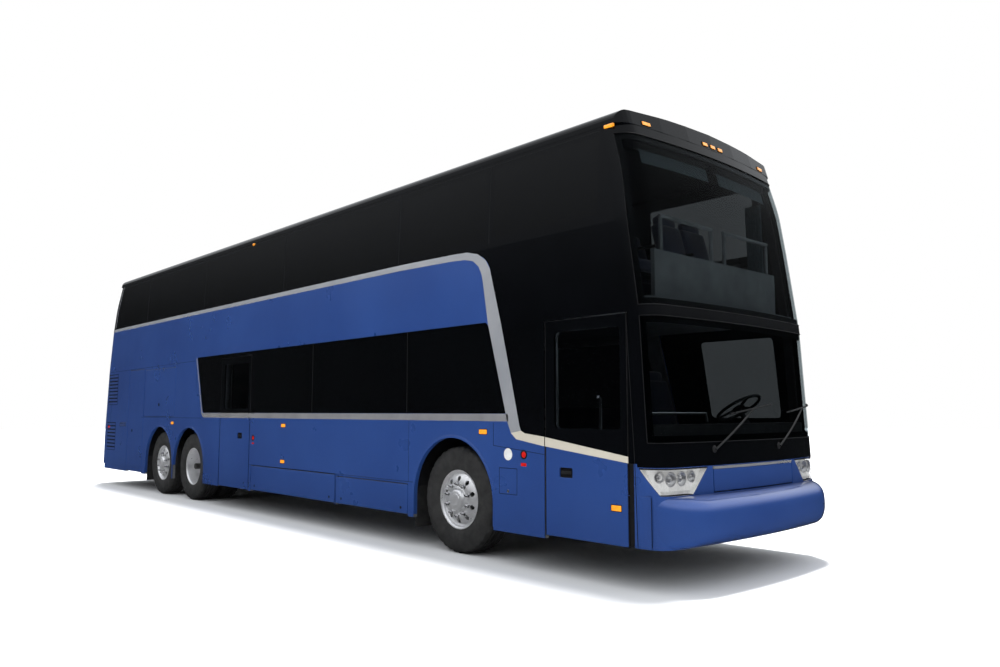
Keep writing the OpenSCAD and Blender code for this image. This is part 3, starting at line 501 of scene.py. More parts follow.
def merge(*parts):
    """Joins several bmeshes into one and frees them."""
    bm = bmesh.new()
    for part in parts:
        mesh = bpy.data.meshes.new("part")
        part.to_mesh(mesh)
        part.free()
        bm.from_mesh(mesh)
        bpy.data.meshes.remove(mesh)
    return bm


def lathe(outline, segments, centre, side):
    """Spins (distance along the axle outwards, radius) round a wheel's axle."""
    bm = bmesh.new()
    rings = []
    for along, radius in outline:
        if radius < 1e-6:
            rings.append([bm.verts.new((centre[0], centre[1] + side * along, centre[2]))])
            continue
        rings.append([bm.verts.new((
            centre[0] + radius * math.cos(2 * math.pi * k / segments),
            centre[1] + side * along,
            centre[2] + radius * math.sin(2 * math.pi * k / segments))) for k in range(segments)])
    for r0, r1 in zip(rings, rings[1:]):
        for k in range(segments):
            n = (k + 1) % segments
            if len(r0) == 1:
                bm.faces.new((r0[0], r1[n], r1[k]))
            elif len(r1) == 1:
                bm.faces.new((r0[k], r0[n], r1[0]))
            else:
                bm.faces.new((r0[k], r0[n], r1[n], r1[k]))
    return bm


def rounded_box(low, high, radius, segments=2):
    """A box with all its edges rounded."""
    bm = bmesh.new()
    bmesh.ops.create_cube(bm, size=1)
    low, high = Vector(low), Vector(high)
    for vertex in bm.verts:
        vertex.co = Vector((low[i] + (vertex.co[i] + 0.5) * (high[i] - low[i]) for i in range(3)))
    bmesh.ops.bevel(bm, geom=bm.edges[:], offset=radius, segments=segments, profile=0.5,
                    affect="EDGES")
    return bm


# ---- wheels ----------------------------------------------------------------------------

RIM_R = 0.286


def tyre_mesh(centre, side):
    """Tyre with a grooved tread and shoulder blocks."""
    half = TYRE_W / 2
    outline = [(-half + 0.034, RIM_R), (-half + 0.018, RIM_R + 0.02), (-half + 0.006, RIM_R + 0.06),
               (-half, RIM_R + 0.115), (-half + 0.004, TYRE_R - 0.085), (-half + 0.012, TYRE_R - 0.04),
               (-half + 0.022, TYRE_R - 0.014), (-half + 0.038, TYRE_R - 0.002)]
    grooves = (-0.072, -0.024, 0.024, 0.072)
    for g in grooves:
        outline += [(g - 0.0055, TYRE_R), (g - 0.0045, TYRE_R - 0.013), (g + 0.0045, TYRE_R - 0.013),
                    (g + 0.0055, TYRE_R)]
    outline += [(-a, r) for a, r in outline[7::-1]]
    bm = lathe(outline, 160, centre, side)
    for vertex in bm.verts:
        radial = Vector((vertex.co.x - centre[0], 0, vertex.co.z - centre[2]))
        radius = radial.length
        across = abs(vertex.co.y - centre[1])
        angle = math.atan2(radial.z, radial.x)
        if radius > TYRE_R - 0.016 and across > 0.095:
            cut = 0.009 if int((angle / (2 * math.pi) + 1) * 80) % 2 else 0.0
            vertex.co -= radial.normalized() * cut
    return bm


def rim_mesh(centre, side, dish, barrel_in, deep):
    """Rim with its barrel, rolled flanges, disc with ten hand holes, and its hub."""
    half = TYRE_W / 2 - 0.034
    parts = [lathe([(half - 0.012, RIM_R - 0.018), (half, RIM_R - 0.012), (half + 0.006, RIM_R),
                    (half + 0.004, RIM_R + 0.011), (half - 0.004, RIM_R + 0.012),
                    (half - 0.01, RIM_R + 0.002), (barrel_in, RIM_R - 0.001),
                    (barrel_in, RIM_R - 0.014), (-0.02, RIM_R - 0.03),
                    (half - 0.05, RIM_R - 0.026), (half - 0.012, RIM_R - 0.018)],
                   96, centre, side)]
    # Disc as a ring of cells with ten oval holes
    bm = bmesh.new()
    holes, steps = 10, 12
    inner, outer = 0.125, RIM_R - 0.02
    crown = -0.03 if deep else 0.045

    def lift(r):
        t = (r - inner) / (outer - inner)
        return dish + crown * (1 - t * t)

    count = holes * steps
    radii = [inner, 0.155, 0.178, 0.189, 0.205, 0.221, 0.232, 0.25, outer]
    verts = []
    for r in radii:
        ring = []
        for k in range(count):
            phase = (k / steps) % 1.0 - 0.5
            angle = 2 * math.pi * k / count
            ring.append([r, angle, phase])
        verts.append(ring)
    # Push the ring's inner grid lines onto each hole's oval
    hole_r, mid_r = 0.027, 0.205
    for ring, r in zip(verts, radii):
        for cell in ring:
            dx = cell[2] * 2 * math.pi / holes * mid_r
            dr = r - mid_r
            if 0.14 < r < 0.245:
                edge = math.hypot(dx, dr)
                if 1e-6 < edge < hole_r and abs(dr) > 1e-6:
                    cell[0] = mid_r + dr * (hole_r / edge) * 0.9
    faces_grid = []
    for thick in (0.0, -0.014):
        faces_grid.append([[bm.verts.new((
            centre[0] + c[0] * math.cos(c[1]), centre[1] + side * (lift(c[0]) + thick),
            centre[2] + c[0] * math.sin(c[1]))) for c in ring] for ring in verts])
    keep = {}
    for j in range(len(radii) - 1):
        for k in range(count):
            dx = (((k + 0.5) / steps) % 1.0 - 0.5) * 2 * math.pi / holes * mid_r
            dr = (radii[j] + radii[j + 1]) / 2 - mid_r
            keep[j, k] = math.hypot(dx, dr) > 0.0265
    top, low = faces_grid
    for (j, k), kept in keep.items():
        if not kept:
            continue
        n = (k + 1) % count
        bm.faces.new((top[j][k], top[j][n], top[j + 1][n], top[j + 1][k]))
        bm.faces.new((low[j + 1][k], low[j + 1][n], low[j][n], low[j][k]))
        for p, q, other in (((j, k), (j, n), (j - 1, k)), ((j, n), (j + 1, n), (j, n)),
                            ((j + 1, n), (j + 1, k), (j + 1, k)), ((j + 1, k), (j, k), (j, k - 1))):
            jj, kk = other
            if not keep.get((jj, kk % count), False):
                bm.faces.new((low[p[0]][p[1]], low[q[0]][q[1]], top[q[0]][q[1]], top[p[0]][p[1]]))
    bmesh.ops.delete(bm, geom=[v for v in bm.verts if not v.link_faces], context="VERTS")
    parts.append(bm)
    face = lift(inner)
    nose = face + (0.09 if deep else 0.035)
    parts.append(lathe([(face - 0.1, 0.1), (face - 0.1, 0.135), (face - 0.004, 0.135),
                        (face + 0.002, 0.128), (face + 0.006, 0.108), (nose - 0.01, 0.098),
                        (nose, 0.086), (nose, 0.06), (nose + 0.004, 0.056), (nose + 0.006, 0.0)],
                       64, centre, side))
    return merge(*parts), face, lift


def nut_mesh(centre, side, lift, radius=0.158, count=10):
    """Wheel nuts: hexagons with a collar and a stud end, in a circle."""
    parts = []
    for k in range(count):
        a = 2 * math.pi * (k + 0.5) / count
        place = (centre[0] + radius * math.cos(a), centre[1], centre[2] + radius * math.sin(a))
        base = lift(radius)
        parts.append(lathe([(base - 0.004, 0.0215), (base + 0.006, 0.0205), (base + 0.008, 0.0175)],
                           12, place, side))
        parts.append(lathe([(base + 0.006, 0.0165), (base + 0.03, 0.016), (base + 0.033, 0.012),
                            (base + 0.033, 0.008), (base + 0.045, 0.0078), (base + 0.046, 0.0)],
                           6, place, side))
    return merge(*parts)


for corner, x in (("front", AXLE), ("drive", DRIVE), ("tag", TAG)):
    for hand, side in (("left", 1), ("right", -1)):
        body = f"road_wheel_{corner}_{hand}"
        tyre_node = f"tyre_{corner}_{hand}"
        wheel_node = f"wheel_{corner}_{hand}"
        low, high = box(tyre_node)
        centres = [WHEEL_Y]
        if corner == "drive":
            centres.append((low.y if side > 0 else -high.y) + TYRE_W / 2)
        tyre = merge(*[tyre_mesh((x, side * y, HUB_Z), side) for y in centres])
        tyre_piece = piece_of(tyre, f"{corner}_{hand}_tyre", RUBBER, body, 30)
        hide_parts(tyre_node)
        deep = corner == "drive"
        half = TYRE_W / 2 - 0.034
        centre = (x, side * WHEEL_Y, HUB_Z)
        dish = -0.13 if deep else half - 0.03
        rim, face, lift = rim_mesh(centre, side, dish, -0.165 if deep else -half, deep)
        if deep:
            inner = rim_mesh((x, side * centres[1], HUB_Z), side, 0.13, -half, False)[0]
            rim = merge(rim, inner)
        rim_piece = piece_of(rim, f"{corner}_{hand}_rim", ALLOY, body, 40)
        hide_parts(wheel_node)
        piece_of(nut_mesh(centre, side, lift), f"{corner}_{hand}_nuts", NUT, body, 25)

# ---- painted sides ---------------------------------------------------------------------

FRONT_DEPTH = plan(SIDE_S, BOW_R, CORNER_R)[0] + 0.04
REAR_TURN = math.asin((HALF_W - REAR_CORNER_R) / (REAR_BOW_R - REAR_CORNER_R))
REAR_S = REAR_BOW_R * REAR_TURN + REAR_CORNER_R * (math.pi / 2 - REAR_TURN)
REAR_DEPTH = plan(REAR_S, REAR_BOW_R, REAR_CORNER_R)[0] + 0.04
SKIN = 0.003          # the skins' outer face behind the frame's
GAP = 0.004           # air round an opening panel's hole
TRIM_LOW, TRIM_TOP = 1.305, 1.374      # bright strip under the lower glass
BELT_FRONT = 0.985    # height at which paint meets black glass, at the front corner
BELT_REAR = 1.092     # and at the front door's rear edge
CORNER_LOW = 0.335    # lower edge of the front corner


def front_line(z):
    """Where the flat side ends at the front, at a height."""
    return FRONT - profile(FRONT_PROFILE, z) - FRONT_DEPTH


def rear_line(z):
    return REAR + profile(REAR_PROFILE, z) + REAR_DEPTH


def arch(x, radius=0.62):
    """Notch of a wheel arch, walked forwards along the skirt."""
    points = [(x - radius, SKIRT)]
    for k in range(37):
        a = math.pi - math.pi * k / 36
        points.append((x + radius * math.cos(a), HUB_Z + radius * math.sin(a)))
    return points + [(x + radius, SKIRT)]


def notch(node):
    """Notch of a panel that reaches down to the skirt."""
    low, high = box(node)
    z = high.z + 0.008
    return [(low.x - 0.008, SKIRT), (low.x - 0.008, z), (high.x + 0.008, z),
            (high.x + 0.008, SKIRT)]


def hole_for(node):
    low, high = box(node)
    return rect(low.x - GAP, low.z - GAP, high.x + GAP, high.z + GAP)


STRIPE_TOP = AXLE + 0.538
STRIPE_LOW = AXLE + 0.817
CORNER = [(STRIPE_TOP - 0.205 + 0.25 * math.cos(math.radians(a)),
           PANEL_TOP - 0.29 + 0.25 * math.sin(math.radians(a))) for a in range(4, 95, 9)]
MID_REAR, MID_FRONT = box("mid_door")[0].x - 0.008, box("mid_door")[1].x + 0.008
MID_TOP = box("mid_door")[1].z + 0.008
LOW_GLASS = [(AXLE - 6.087, 1.376), (STRIPE_LOW - 0.004, 1.376), (STRIPE_TOP - 0.004, 2.25),
             (AXLE - 6.363, 2.25)]
LINING_WINDOW = [(AXLE - 6.01, 1.44), (STRIPE_LOW - 0.075, 1.44), (STRIPE_TOP - 0.055, 2.21),
                 (AXLE - 6.26, 2.21)]
DOOR_REAR, DOOR_FRONT = box("front_door")[0].x - 0.008, box("front_door")[1].x + 0.008


def rear_edge(z0, z1, count=14):
    return [(rear_line(z), z) for z in span(z0, z1, count)]


def window_notch(window):
    """The middle doorway and the window run it opens into, walked forwards."""
    rear_low, front_low, front_top, rear_top = window
    turned = fillet([rear_low, rear_top, front_top, front_low], 0.05)
    return ([(MID_REAR, SKIRT), (MID_REAR, rear_low[1])] + turned
            + [(MID_FRONT, front_low[1]), (MID_FRONT, SKIRT)])


def painted(side, window):
    """Outline of a side's painted part, and the holes in it."""
    skirt = [(rear_line(SKIRT), SKIRT)]
    if side < 0:
        skirt += notch("service_door")
    skirt += arch(TAG) + arch(DRIVE)
    if side < 0:
        skirt += window_notch(window)
    skirt += notch(f"locker_flap_rear_{'right' if side < 0 else 'left'}")
    skirt += notch(f"locker_flap_front_{'right' if side < 0 else 'left'}")
    skirt += arch(AXLE)
    if side < 0:
        end = [(DOOR_REAR, SKIRT), (DOOR_REAR, 1.10)]
    else:
        end = [(front_line(SKIRT), SKIRT), (front_line(BELT_FRONT), BELT_FRONT), (DOOR_REAR, 1.10)]
    outline = skirt + end + [(AXLE + 0.975, 1.15), (STRIPE_LOW + 0.1, 1.25)]
    outline += CORNER + rear_edge(SKIRT, PANEL_TOP)[::-1][:-1]
    return [outline] if side < 0 else [outline, fillet(window, 0.05)]


def gap(x0, z0, x1, z1, width=0.0045):
    """A thin dark line drawn on the paint between two points."""
    return ([ring_path([(x0, z0), (x1, z1)], width)], 0.0024, 0.0012, 0.0)


def side_skin(hand, side):
    """Painted skin, the strip and seal ahead of the front door, and the lining behind."""
    hole = hole_for(f"luggage_door_{hand}")
    skin = side_plates([(painted(side, LOW_GLASS) + [hole], SKIN, 0.006, 0.0015)],
                       side, f"side_skin_{hand}", PAINT)
    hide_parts(f"side_{hand}")
    if side < 0:
        split = DOOR_FRONT + 0.045
        strip = [(split, CORNER_LOW), (front_line(CORNER_LOW), CORNER_LOW),
                 (front_line(BELT_FRONT), BELT_FRONT), (split, BELT_FRONT)]
        side_plates([([strip], SKIN, 0.006, 0.0)], side, "corner_strip_right", PAINT)
        seal = rect(DOOR_FRONT, CORNER_LOW, split, BELT_FRONT)
        side_plates([([seal], SKIN - 0.001, 0.03, 0.002)], side, "corner_seal_strip", SEAL)
    side_plates([(painted(side, LINING_WINDOW) + [hole], 0.022, 0.034, 0.001)], side,
                f"side_lining_{hand}", GREY)


def half_circle(x, radius):
    return [(x + radius * math.cos(math.pi * k / 40), HUB_Z + radius * math.sin(math.pi * k / 40))
            for k in range(41)]


def arch_lips(hand, side):
    """Rolled lips round the arches, with legs down to the skirt except between the rear two."""
    lip_in, lip_out, foot = 0.612, 0.641, SKIRT + 0.03
    lips = []
    for x in (TAG, DRIVE, AXLE):
        line = half_circle(x, lip_in)
        back = half_circle(x, lip_out)[::-1]
        if x != TAG:
            line.insert(0, (x + lip_in, foot))
            back.append((x + lip_out, foot))
        if x != DRIVE:
            line.append((x - lip_in, foot))
            back.insert(0, (x - lip_out, foot))
        lips.append(([line + back], 0.0005, 0.05, 0.005))
    side_plates(lips, side, f"arch_lips_{hand}", PAINT)


def lower_glass(hand, side):
    """The lower deck's panes and the dark joints between them."""
    pane = list(LOW_GLASS)
    if side < 0:
        pane[1:1] = [(MID_REAR, 1.376), (MID_REAR, MID_TOP), (MID_FRONT, MID_TOP),
                     (MID_FRONT, 1.376)]
    glass = side_plates([([pane], 0.011, 0.006, 0.0)], side, f"lower_glass_{hand}", GLASS)
    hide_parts("lower_side_glass")
    joints = [([rect(AXLE + x - 0.005, 1.38, AXLE + x + 0.005, 2.245)], 0.0102, 0.002, 0.0)
              for x in ((-5.45, -4.43, -2.757, -0.762) if side > 0 else (-2.757, -0.762))]
    side_plates(joints, side, f"lower_glass_joints_{hand}", SEAL)


def bright_strip(hand, side):
    """Bright strip under the lower glass, thin up its rear edge."""
    strip = [(AXLE - 6.05, TRIM_LOW), (STRIPE_LOW + 0.01, TRIM_LOW), (STRIPE_LOW, TRIM_TOP),
             (AXLE - 6.03, TRIM_TOP)]
    edge = ring_path([(AXLE - 6.05, 1.34), (AXLE - 6.1, 1.37), (AXLE - 6.12, 1.42),
                      (AXLE - 6.372, 2.235)], [0.06, 0.03, 0.02, 0.016])
    strips = [strip] if side > 0 else [
        [strip[0], (MID_REAR, TRIM_LOW), (MID_REAR, TRIM_TOP), strip[3]],
        [(MID_FRONT, TRIM_LOW), strip[1], strip[2], (MID_FRONT, TRIM_TOP)]]
    side_plates([([part], 0.001, 0.003, 0.001) for part in strips]
                + [([edge], 0.0012, 0.003, 0.0008)], side,
                f"bright_strip_{hand}", CHROME)


def pale_stripe(hand, side):
    """Stripe under the upper glass, down ahead of the lower glass and on to the front."""
    upper = [(rear_line(3.0) + 0.01, 3.0), (-3.0, 3.0), (3.2, 2.998), (4.05, 2.985), (4.3, 2.975),
             (4.46, 2.935), (4.575, 2.86), (4.635, 2.77), (4.665, 2.67), (4.791, 2.234),
             (4.915, 1.76), (5.039, 1.271), (5.06, 1.222), (5.11, 1.2), (DOOR_REAR, 1.175)]
    lower = [(rear_line(2.94) + 0.01, 2.945), (-3.0, 2.945), (3.2, 2.935), (4.05, 2.917),
             (4.26, 2.905), (4.39, 2.875), (4.475, 2.81), (4.517, 2.73), (4.54, 2.64),
             (4.612, 2.234), (4.74, 1.79), (4.882, 1.3), (4.93, 1.2), (5.0, 1.145),
             (DOOR_REAR, BELT_REAR)]
    side_plates([([lower[:-2] + upper[::-1][2:]], 0.001, 0.004, 0.001)], side,
                f"pale_stripe_{hand}", SILVER)
    belt = lower[-3:] + upper[::-1][:3]
    if side > 0:
        belt = lower[-3:-1] + [(DOOR_REAR, BELT_REAR), (front_line(0.98) - 0.01, 0.98),
                               (front_line(1.03) - 0.01, 1.03)] + upper[::-1][:3]
    side_plates([([belt], 0.001, 0.004, 0.0)], side, f"belt_stripe_{hand}", CREAM, "body")
    up_edge = [(rear_line(z) + 0.02, z) for z in span(2.95, GUTTER - 0.01, 8)]
    up_edge += [(x + 0.016, z) for x, z in up_edge[::-1]]
    side_plates([([up_edge], 0.001, 0.002, 0.0)], side, f"rear_stripe_{hand}", SILVER)


def upper_band(hand, side):
    """Black glass band of the upper deck, which leans in above the paint and runs down flat
    ahead of the stripe, with its clearer panes and their joints."""
    posts = (-6.12, -4.6, -2.1, 0.5, 3.13, 4.62, 6.04)
    panes = [fillet([(a + 0.05, 3.05), (b - 0.05, 3.05), (b - 0.05, 3.75), (a + 0.05, 3.75)], 0.03)
             for a, b in zip(posts, posts[1:])]
    bands = [([[(rear_line(PANEL_TOP), PANEL_TOP), (front_line(PANEL_TOP), PANEL_TOP)]
               + [(front_line(z), z) for z in span(PANEL_TOP, GUTTER, 8)][1:]
               + [(rear_line(z), z) for z in span(GUTTER, PANEL_TOP, 8)][:-1]] + panes,
              SKIN, 0.006, 0.0)]
    side_plates([([pane], SKIN + 0.0005, 0.005, 0.0) for pane in panes[:-1]], side,
                f"upper_panes_{hand}", GLASS)
    side_plates([([panes[-1]], SKIN + 0.0005, 0.005, 0.0)], side, f"upper_front_pane_{hand}",
                CAB_GLASS if side > 0 else GLASS, "body")
    front_part = [(AXLE + 0.975, 1.15), (DOOR_REAR, 1.10)]
    if side < 0:
        front_part += [(DOOR_REAR, box("front_door")[1].z + 0.008),
                       (DOOR_FRONT, box("front_door")[1].z + 0.008), (DOOR_FRONT, BELT_FRONT)]
    front_part += [(front_line(z), z) for z in span(BELT_FRONT, PANEL_TOP, 12)]
    front_part += [(rear_line(PANEL_TOP), PANEL_TOP)] + CORNER[::-1] + [(STRIPE_LOW + 0.1, 1.25)]
    quarter = fillet([(5.05, 1.39), (4.875, 2.14), (DOOR_REAR - 0.06, 2.14),
                      (DOOR_REAR - 0.06, 1.39)], 0.04)
    driver = fillet([(5.42, 1.33), (5.30, 2.16), (6.16, 2.16), (6.23, 1.33)], 0.05)
    cut = quarter if side < 0 else driver
    bands.append(([front_part, cut], SKIN, 0.006, 0.0))
    band = side_plates(bands, side, f"upper_band_{hand}", BLACK)
    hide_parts("upper_side_glass")
    side_plates([([cut], SKIN + 0.001, 0.005, 0.0)], side, f"quarter_glass_{hand}",
                CAB_GLASS if side > 0 else GLASS, "body")
    lines = [([rect(x - 0.004, PANEL_TOP + 0.045, x + 0.004, GUTTER - 0.03)], 0.0022, 0.002, 0.0)
             for x in posts[1:-1]]
    lines.append(([rect(rear_line(GUTTER) + 0.02, GUTTER - 0.034, front_line(GUTTER) - 0.01,
                        GUTTER - 0.028)], 0.0022, 0.002, 0.0))
    side_plates(lines, side, f"upper_joints_{hand}", SEAL)


def panel_gaps(hand, side):
    """Gaps between the fixed painted panels."""
    gaps = [gap(rear_line(2.16) + 0.01, 2.16, AXLE - 6.42, 2.2),
            gap(TAG - 0.9, 1.295, AXLE - 6.12, 1.295), gap(AXLE - 0.71, 0.66, AXLE - 0.71, 1.3),
            gap(AXLE + 0.61, SKIRT, AXLE + 0.61, 0.7), gap(MID_FRONT, 0.66, AXLE - 0.71, 0.66),
            gap(AXLE - 0.71, 0.66, AXLE - 0.61, 0.66), gap(AXLE - 2.161, SKIRT, AXLE - 2.161, 0.66),
            gap(AXLE + 0.62, 1.08, AXLE + 0.62, 1.29), gap(4.69, 1.08, DOOR_REAR, 1.02)]
    low, high = box("luggage_door_right")
    gaps += [gap(low.x - 0.01, 1.295, low.x - 0.01, 2.15), gap(-6.44, 0.5, -6.3, 2.15)]
    side_plates(gaps, side, f"panel_gaps_{hand}", SEAL)


for hand, side in (("right", -1), ("left", 1)):
    for build in (side_skin, arch_lips, lower_glass, bright_strip, pale_stripe, upper_band,
                  panel_gaps):
        build(hand, side)

# ---- side panels that open -------------------------------------------------------------


def opening_panel(node, side, name, bevel=0.004, material=PAINT):
    low, high = box(node)
    outline = rect(low.x + 0.002, low.z + 0.002, high.x - 0.002, high.z - 0.002, 0.012)
    piece = side_plates([([outline], SKIN, 0.03, bevel)], side, name, material, node)
    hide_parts(node)
    return low, high


def round_boss(x, z, side, radius, depth, body, name, material, ring=0.006):
    """Round cap or lock with a raised rim."""
    bm = lathe([(-0.012, 0.0), (-0.012, radius), (-0.0014, radius), (-0.0004, radius - 0.002),
                (-0.0004, radius - ring), (-depth, radius - ring - 0.002), (-depth * 0.8, 0.0)],
               40, (x, side * HALF_W, z), side)
    return piece_of(bm, name, material, body, 30)


for hand, side in (("right", -1), ("left", 1)):
    for part in ("front", "rear"):
        low, high = opening_panel(f"locker_flap_{part}_{hand}", side, f"locker_skin_{part}_{hand}")
        for k, x in enumerate((low.x + 0.12, high.x - 0.12)):
            round_boss(x, low.z + 0.06, side, 0.016, 0.0022, f"locker_flap_{part}_{hand}",
                       f"locker_lock_{part}_{hand}_{k}", SEAL, 0.004)
    low, high = opening_panel(f"luggage_door_{hand}", side, f"luggage_skin_{hand}")
    round_boss((low.x + high.x) / 2, low.z + 0.2, side, 0.03, 0.0022, f"luggage_door_{hand}",
               f"luggage_lock_{hand}", SEAL)
    hinge = [([rect(high.x - 0.13 - 0.07 * k, 1.5, high.x - 0.1 - 0.07 * k, 1.66, 0.006)],
              0.0015, 0.002, 0.0005) for k in range(3)]
    side_plates(hinge, side, f"luggage_marks_{hand}", PAINT, f"luggage_door_{hand}")
low, high = opening_panel("service_door", -1, "service_skin")
round_boss(high.x - 0.55, 1.051, -1, 0.028, 0.0022, "service_door", "service_lock", SEAL)

# Passenger doors: painted below the belt, glass above, a dark seal all round
for node, belt, handle in (("front_door", None, (AXLE + 1.536, 0.876)),
                           ("mid_door", 1.30, (AXLE - 4.762, 1.053))):
    low, high = box(node)
    x0, x1, z0, z1 = low.x, high.x, low.z, high.z
    edge = 0.012
    if belt is None:
        line = [(x0 + edge, BELT_REAR), (x1 - edge, 0.987)]
    else:
        line = [(x0 + edge, belt + 0.004), (x1 - edge, belt + 0.004)]
    handle_hole = rect(handle[0] - 0.075, handle[1] - 0.042, handle[0] + 0.075, handle[1] + 0.042,
                       0.015)
    lower = [(x0 + edge, z0 + 0.004), (x1 - edge, z0 + 0.004), line[1], line[0]]
    skin = side_plates([([lower, handle_hole], SKIN, 0.02, 0.003)], -1, f"{node}_skin", PAINT, node)
    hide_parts(node)
    top = [line[0], line[1], (x1 - edge, z1 - 0.004), (x0 + edge, z1 - 0.004)]
    win_low = (1.25 if belt is None else 1.44)
    pane = fillet([(x0 + 0.115, win_low), (x1 - 0.075, win_low), (x1 - 0.075, z1 - 0.1),
                   (x0 + 0.115, z1 - 0.1)], 0.05)
    side_plates([([top, pane], SKIN + 0.001, 0.02, 0.0)], -1, f"{node}_black", BLACK, node)
    side_plates([([pane], SKIN + 0.002, 0.006, 0.0)], -1, f"{node}_glass", DOOR_GLASS, node)
    seal = [rect(x0 + 0.001, z0 + 0.001, x1 - 0.001, z1 - 0.001),
            rect(x0 + edge + 0.001, z0 + edge, x1 - edge - 0.001, z1 - edge)]
    side_plates([(seal, 0.006, 0.04, 0.003)], -1, f"{node}_seal", SEAL, node)
    inner = [rect(x0 + 0.02, z0 + 0.02, x1 - 0.02, z1 - 0.02), pane]
    side_plates([(inner, 0.03, 0.03, 0.004)], -1, f"{node}_lining", GREY, node)
    side_plates([([handle_hole], 0.018, 0.004, 0.001)], -1, f"{node}_handle_pocket", SEAL, node)
    side_plates([([rect(handle[0] - 0.06, handle[1] - 0.012, handle[0] + 0.06, handle[1] + 0.014,
                        0.008)], 0.004, 0.01, 0.003)], -1, f"{node}_handle", PLASTIC, node)
    if belt is None:
        strip = [(x0 + 0.001, BELT_REAR), (x1 - 0.001, 0.987), (x1 - 0.001, 1.038), (x0 + 0.001, 1.173)]
    else:
        strip = rect(x0 + 0.001, TRIM_LOW, x1 - 0.001, TRIM_TOP)
    side_plates([([strip], 0.001, 0.003, 0.001)], -1, f"{node}_strip",
                CREAM if belt is None else CHROME, node)
    arm_low, arm_high = box(f"{node}_arm")
    bar_x = arm_high.x - 0.322 if node == "front_door" else arm_low.x + 0.322
    bar = tube([(bar_x, -1.2, 1.0), (bar_x, -1.17, 1.02), (bar_x, -1.17, 1.5),
                (bar_x, -1.2, 1.52)], 0.014)
    piece_of(bar, f"{node}_grab_bar", NUT, node)

# ---- small fittings on the sides -------------------------------------------------------


def lamp_block(x, z, w, h, side, name, material, body="body"):
    side_plates([([rect(x - w / 2 - 0.006, z - h / 2 - 0.006, x + w / 2 + 0.006, z + h / 2 + 0.006,
                        0.008)], 0.0018, 0.004, 0.001)], side, f"{name}_base", SEAL, body)
    side_plates([([rect(x - w / 2, z - h / 2, x + w / 2, z + h / 2, 0.006)], 0.0002, 0.006, 0.0015)],
                side, name, material, body)


for hand, side in (("right", -1), ("left", 1)):
    for k, (x, z) in enumerate(((0.472, 1.204), (-3.471, 1.213), (-3.472, 0.745), (-7.287, 1.208))):
        lamp_block(AXLE + x, z, 0.11, 0.042, side, f"side_marker_{hand}_{k}", AMBER)
    lamp_block(-6.45, 1.1, 0.1, 0.042, side, f"side_marker_{hand}_rear", RED)
lamp_block(AXLE + 2.079, 0.625, 0.1, 0.045, -1, "door_reflector", AMBER, "front_door")
round_boss(AXLE + 0.821, 1.005, -1, 0.055, 0.0018, "body", "filler_cap_white", WHITE, 0.01)
round_boss(AXLE + 1.026, 1.009, -1, 0.042, 0.0022, "body", "button_surround_front", SEAL,
           0.008)
round_boss(AXLE + 1.026, 1.009, -1, 0.027, 0.0001, "body", "button_front", RED, 0.004)
round_boss(AXLE - 4.330, 1.032, -1, 0.042, 0.0022, "body", "button_surround_mid", SEAL,
           0.008)
round_boss(AXLE - 4.330, 1.032, -1, 0.027, 0.0001, "body", "button_mid", RED, 0.004)
round_boss(-5.665, 1.003, -1, 0.06, 0.0022, "body", "filler_cap_rear", PAINT, 0.01)
side_plates([([rect(AXLE + 0.99, 0.905, AXLE + 1.06, 0.935, 0.004)], 0.001, 0.002, 0.0005),
             ([rect(AXLE - 4.36, 0.945, AXLE - 4.30, 0.968, 0.004)], 0.001, 0.002, 0.0005)], -1,
            "button_labels", RED)
side_plates([([rect(AXLE + 0.70, 0.64, AXLE + 0.94, 0.88, 0.01),
               rect(AXLE + 0.705, 0.645, AXLE + 0.935, 0.875, 0.008)], 0.0024, 0.0012, 0.0)], -1,
            "small_flap_gap", SEAL)
round_boss(AXLE + 0.82, 0.67, -1, 0.014, 0.0018, "body", "small_flap_lock", NUT, 0.004)


def grille(x0, z0, x1, z1, side, name, slots, body="body"):
    """Dark recess plate with leaning louvre blades over it."""
    side_plates([([rect(x0, z0, x1, z1, 0.01)], 0.0022, 0.004, 0.0005)], side, f"{name}_back",
                SEAL, body)
    blades = bmesh.new()
    pitch = (z1 - z0) / slots
    for k in range(slots):
        z = z0 + pitch * (k + 0.5)
        section = [(0.0022, z - pitch * 0.36), (0.0002, z - pitch * 0.2), (0.0004, z + pitch * 0.16),
                   (0.0022, z + pitch * 0.26)]
        rows = [[blades.verts.new((x, side * (HALF_W - d), h)) for d, h in section]
                for x in (x0 + 0.012, x1 - 0.012)]
        for i in range(3):
            blades.faces.new((rows[0][i], rows[1][i], rows[1][i + 1], rows[0][i + 1]))
        blades.faces.new((rows[0][3], rows[1][3], rows[1][0], rows[0][0]))
        blades.faces.new(rows[0][::-1])
        blades.faces.new(rows[1])
    piece_of(blades, f"{name}_blades", PAINT, body, smooth_angle=25)


for hand, side in (("right", -1), ("left", 1)):
    grille(AXLE - 10.60, 1.523, AXLE - 10.09, 2.113, side, f"grille_upper_{hand}", 9)
    grille(AXLE - 10.60, 0.66, AXLE - 10.13, 1.191, side, f"grille_lower_{hand}", 8)
    grille(AXLE - 9.90, 1.115, AXLE - 9.56, 1.195, side, f"grille_small_{hand}", 3)

# ---- front -----------------------------------------------------------------------------

S_POST = SIDE_S - 0.067


def s_list(extra=()):
    values = set(span(-SIDE_S, SIDE_S, 44))
    values |= {round(v, 5) for v in extra} | {round(-v, 5) for v in extra}
    for k in range(1, 12):
        v = SIDE_S - 0.32 * k / 11
        values |= {v, -v}
    ordered = sorted(values)
    return [v for i, v in enumerate(ordered) if i == 0 or v - ordered[i - 1] > 1e-4]


def front_patch(z_values, s_values, name, material, thickness=0.006, skip=None, out=0.0,
                body="body", angle=35):
    bm = grid_patch(lambda s, z, d: front_point(s, z, out + d), s_values, z_values, thickness,
                    skip)
    return piece_of(bm, name, material, body, angle)


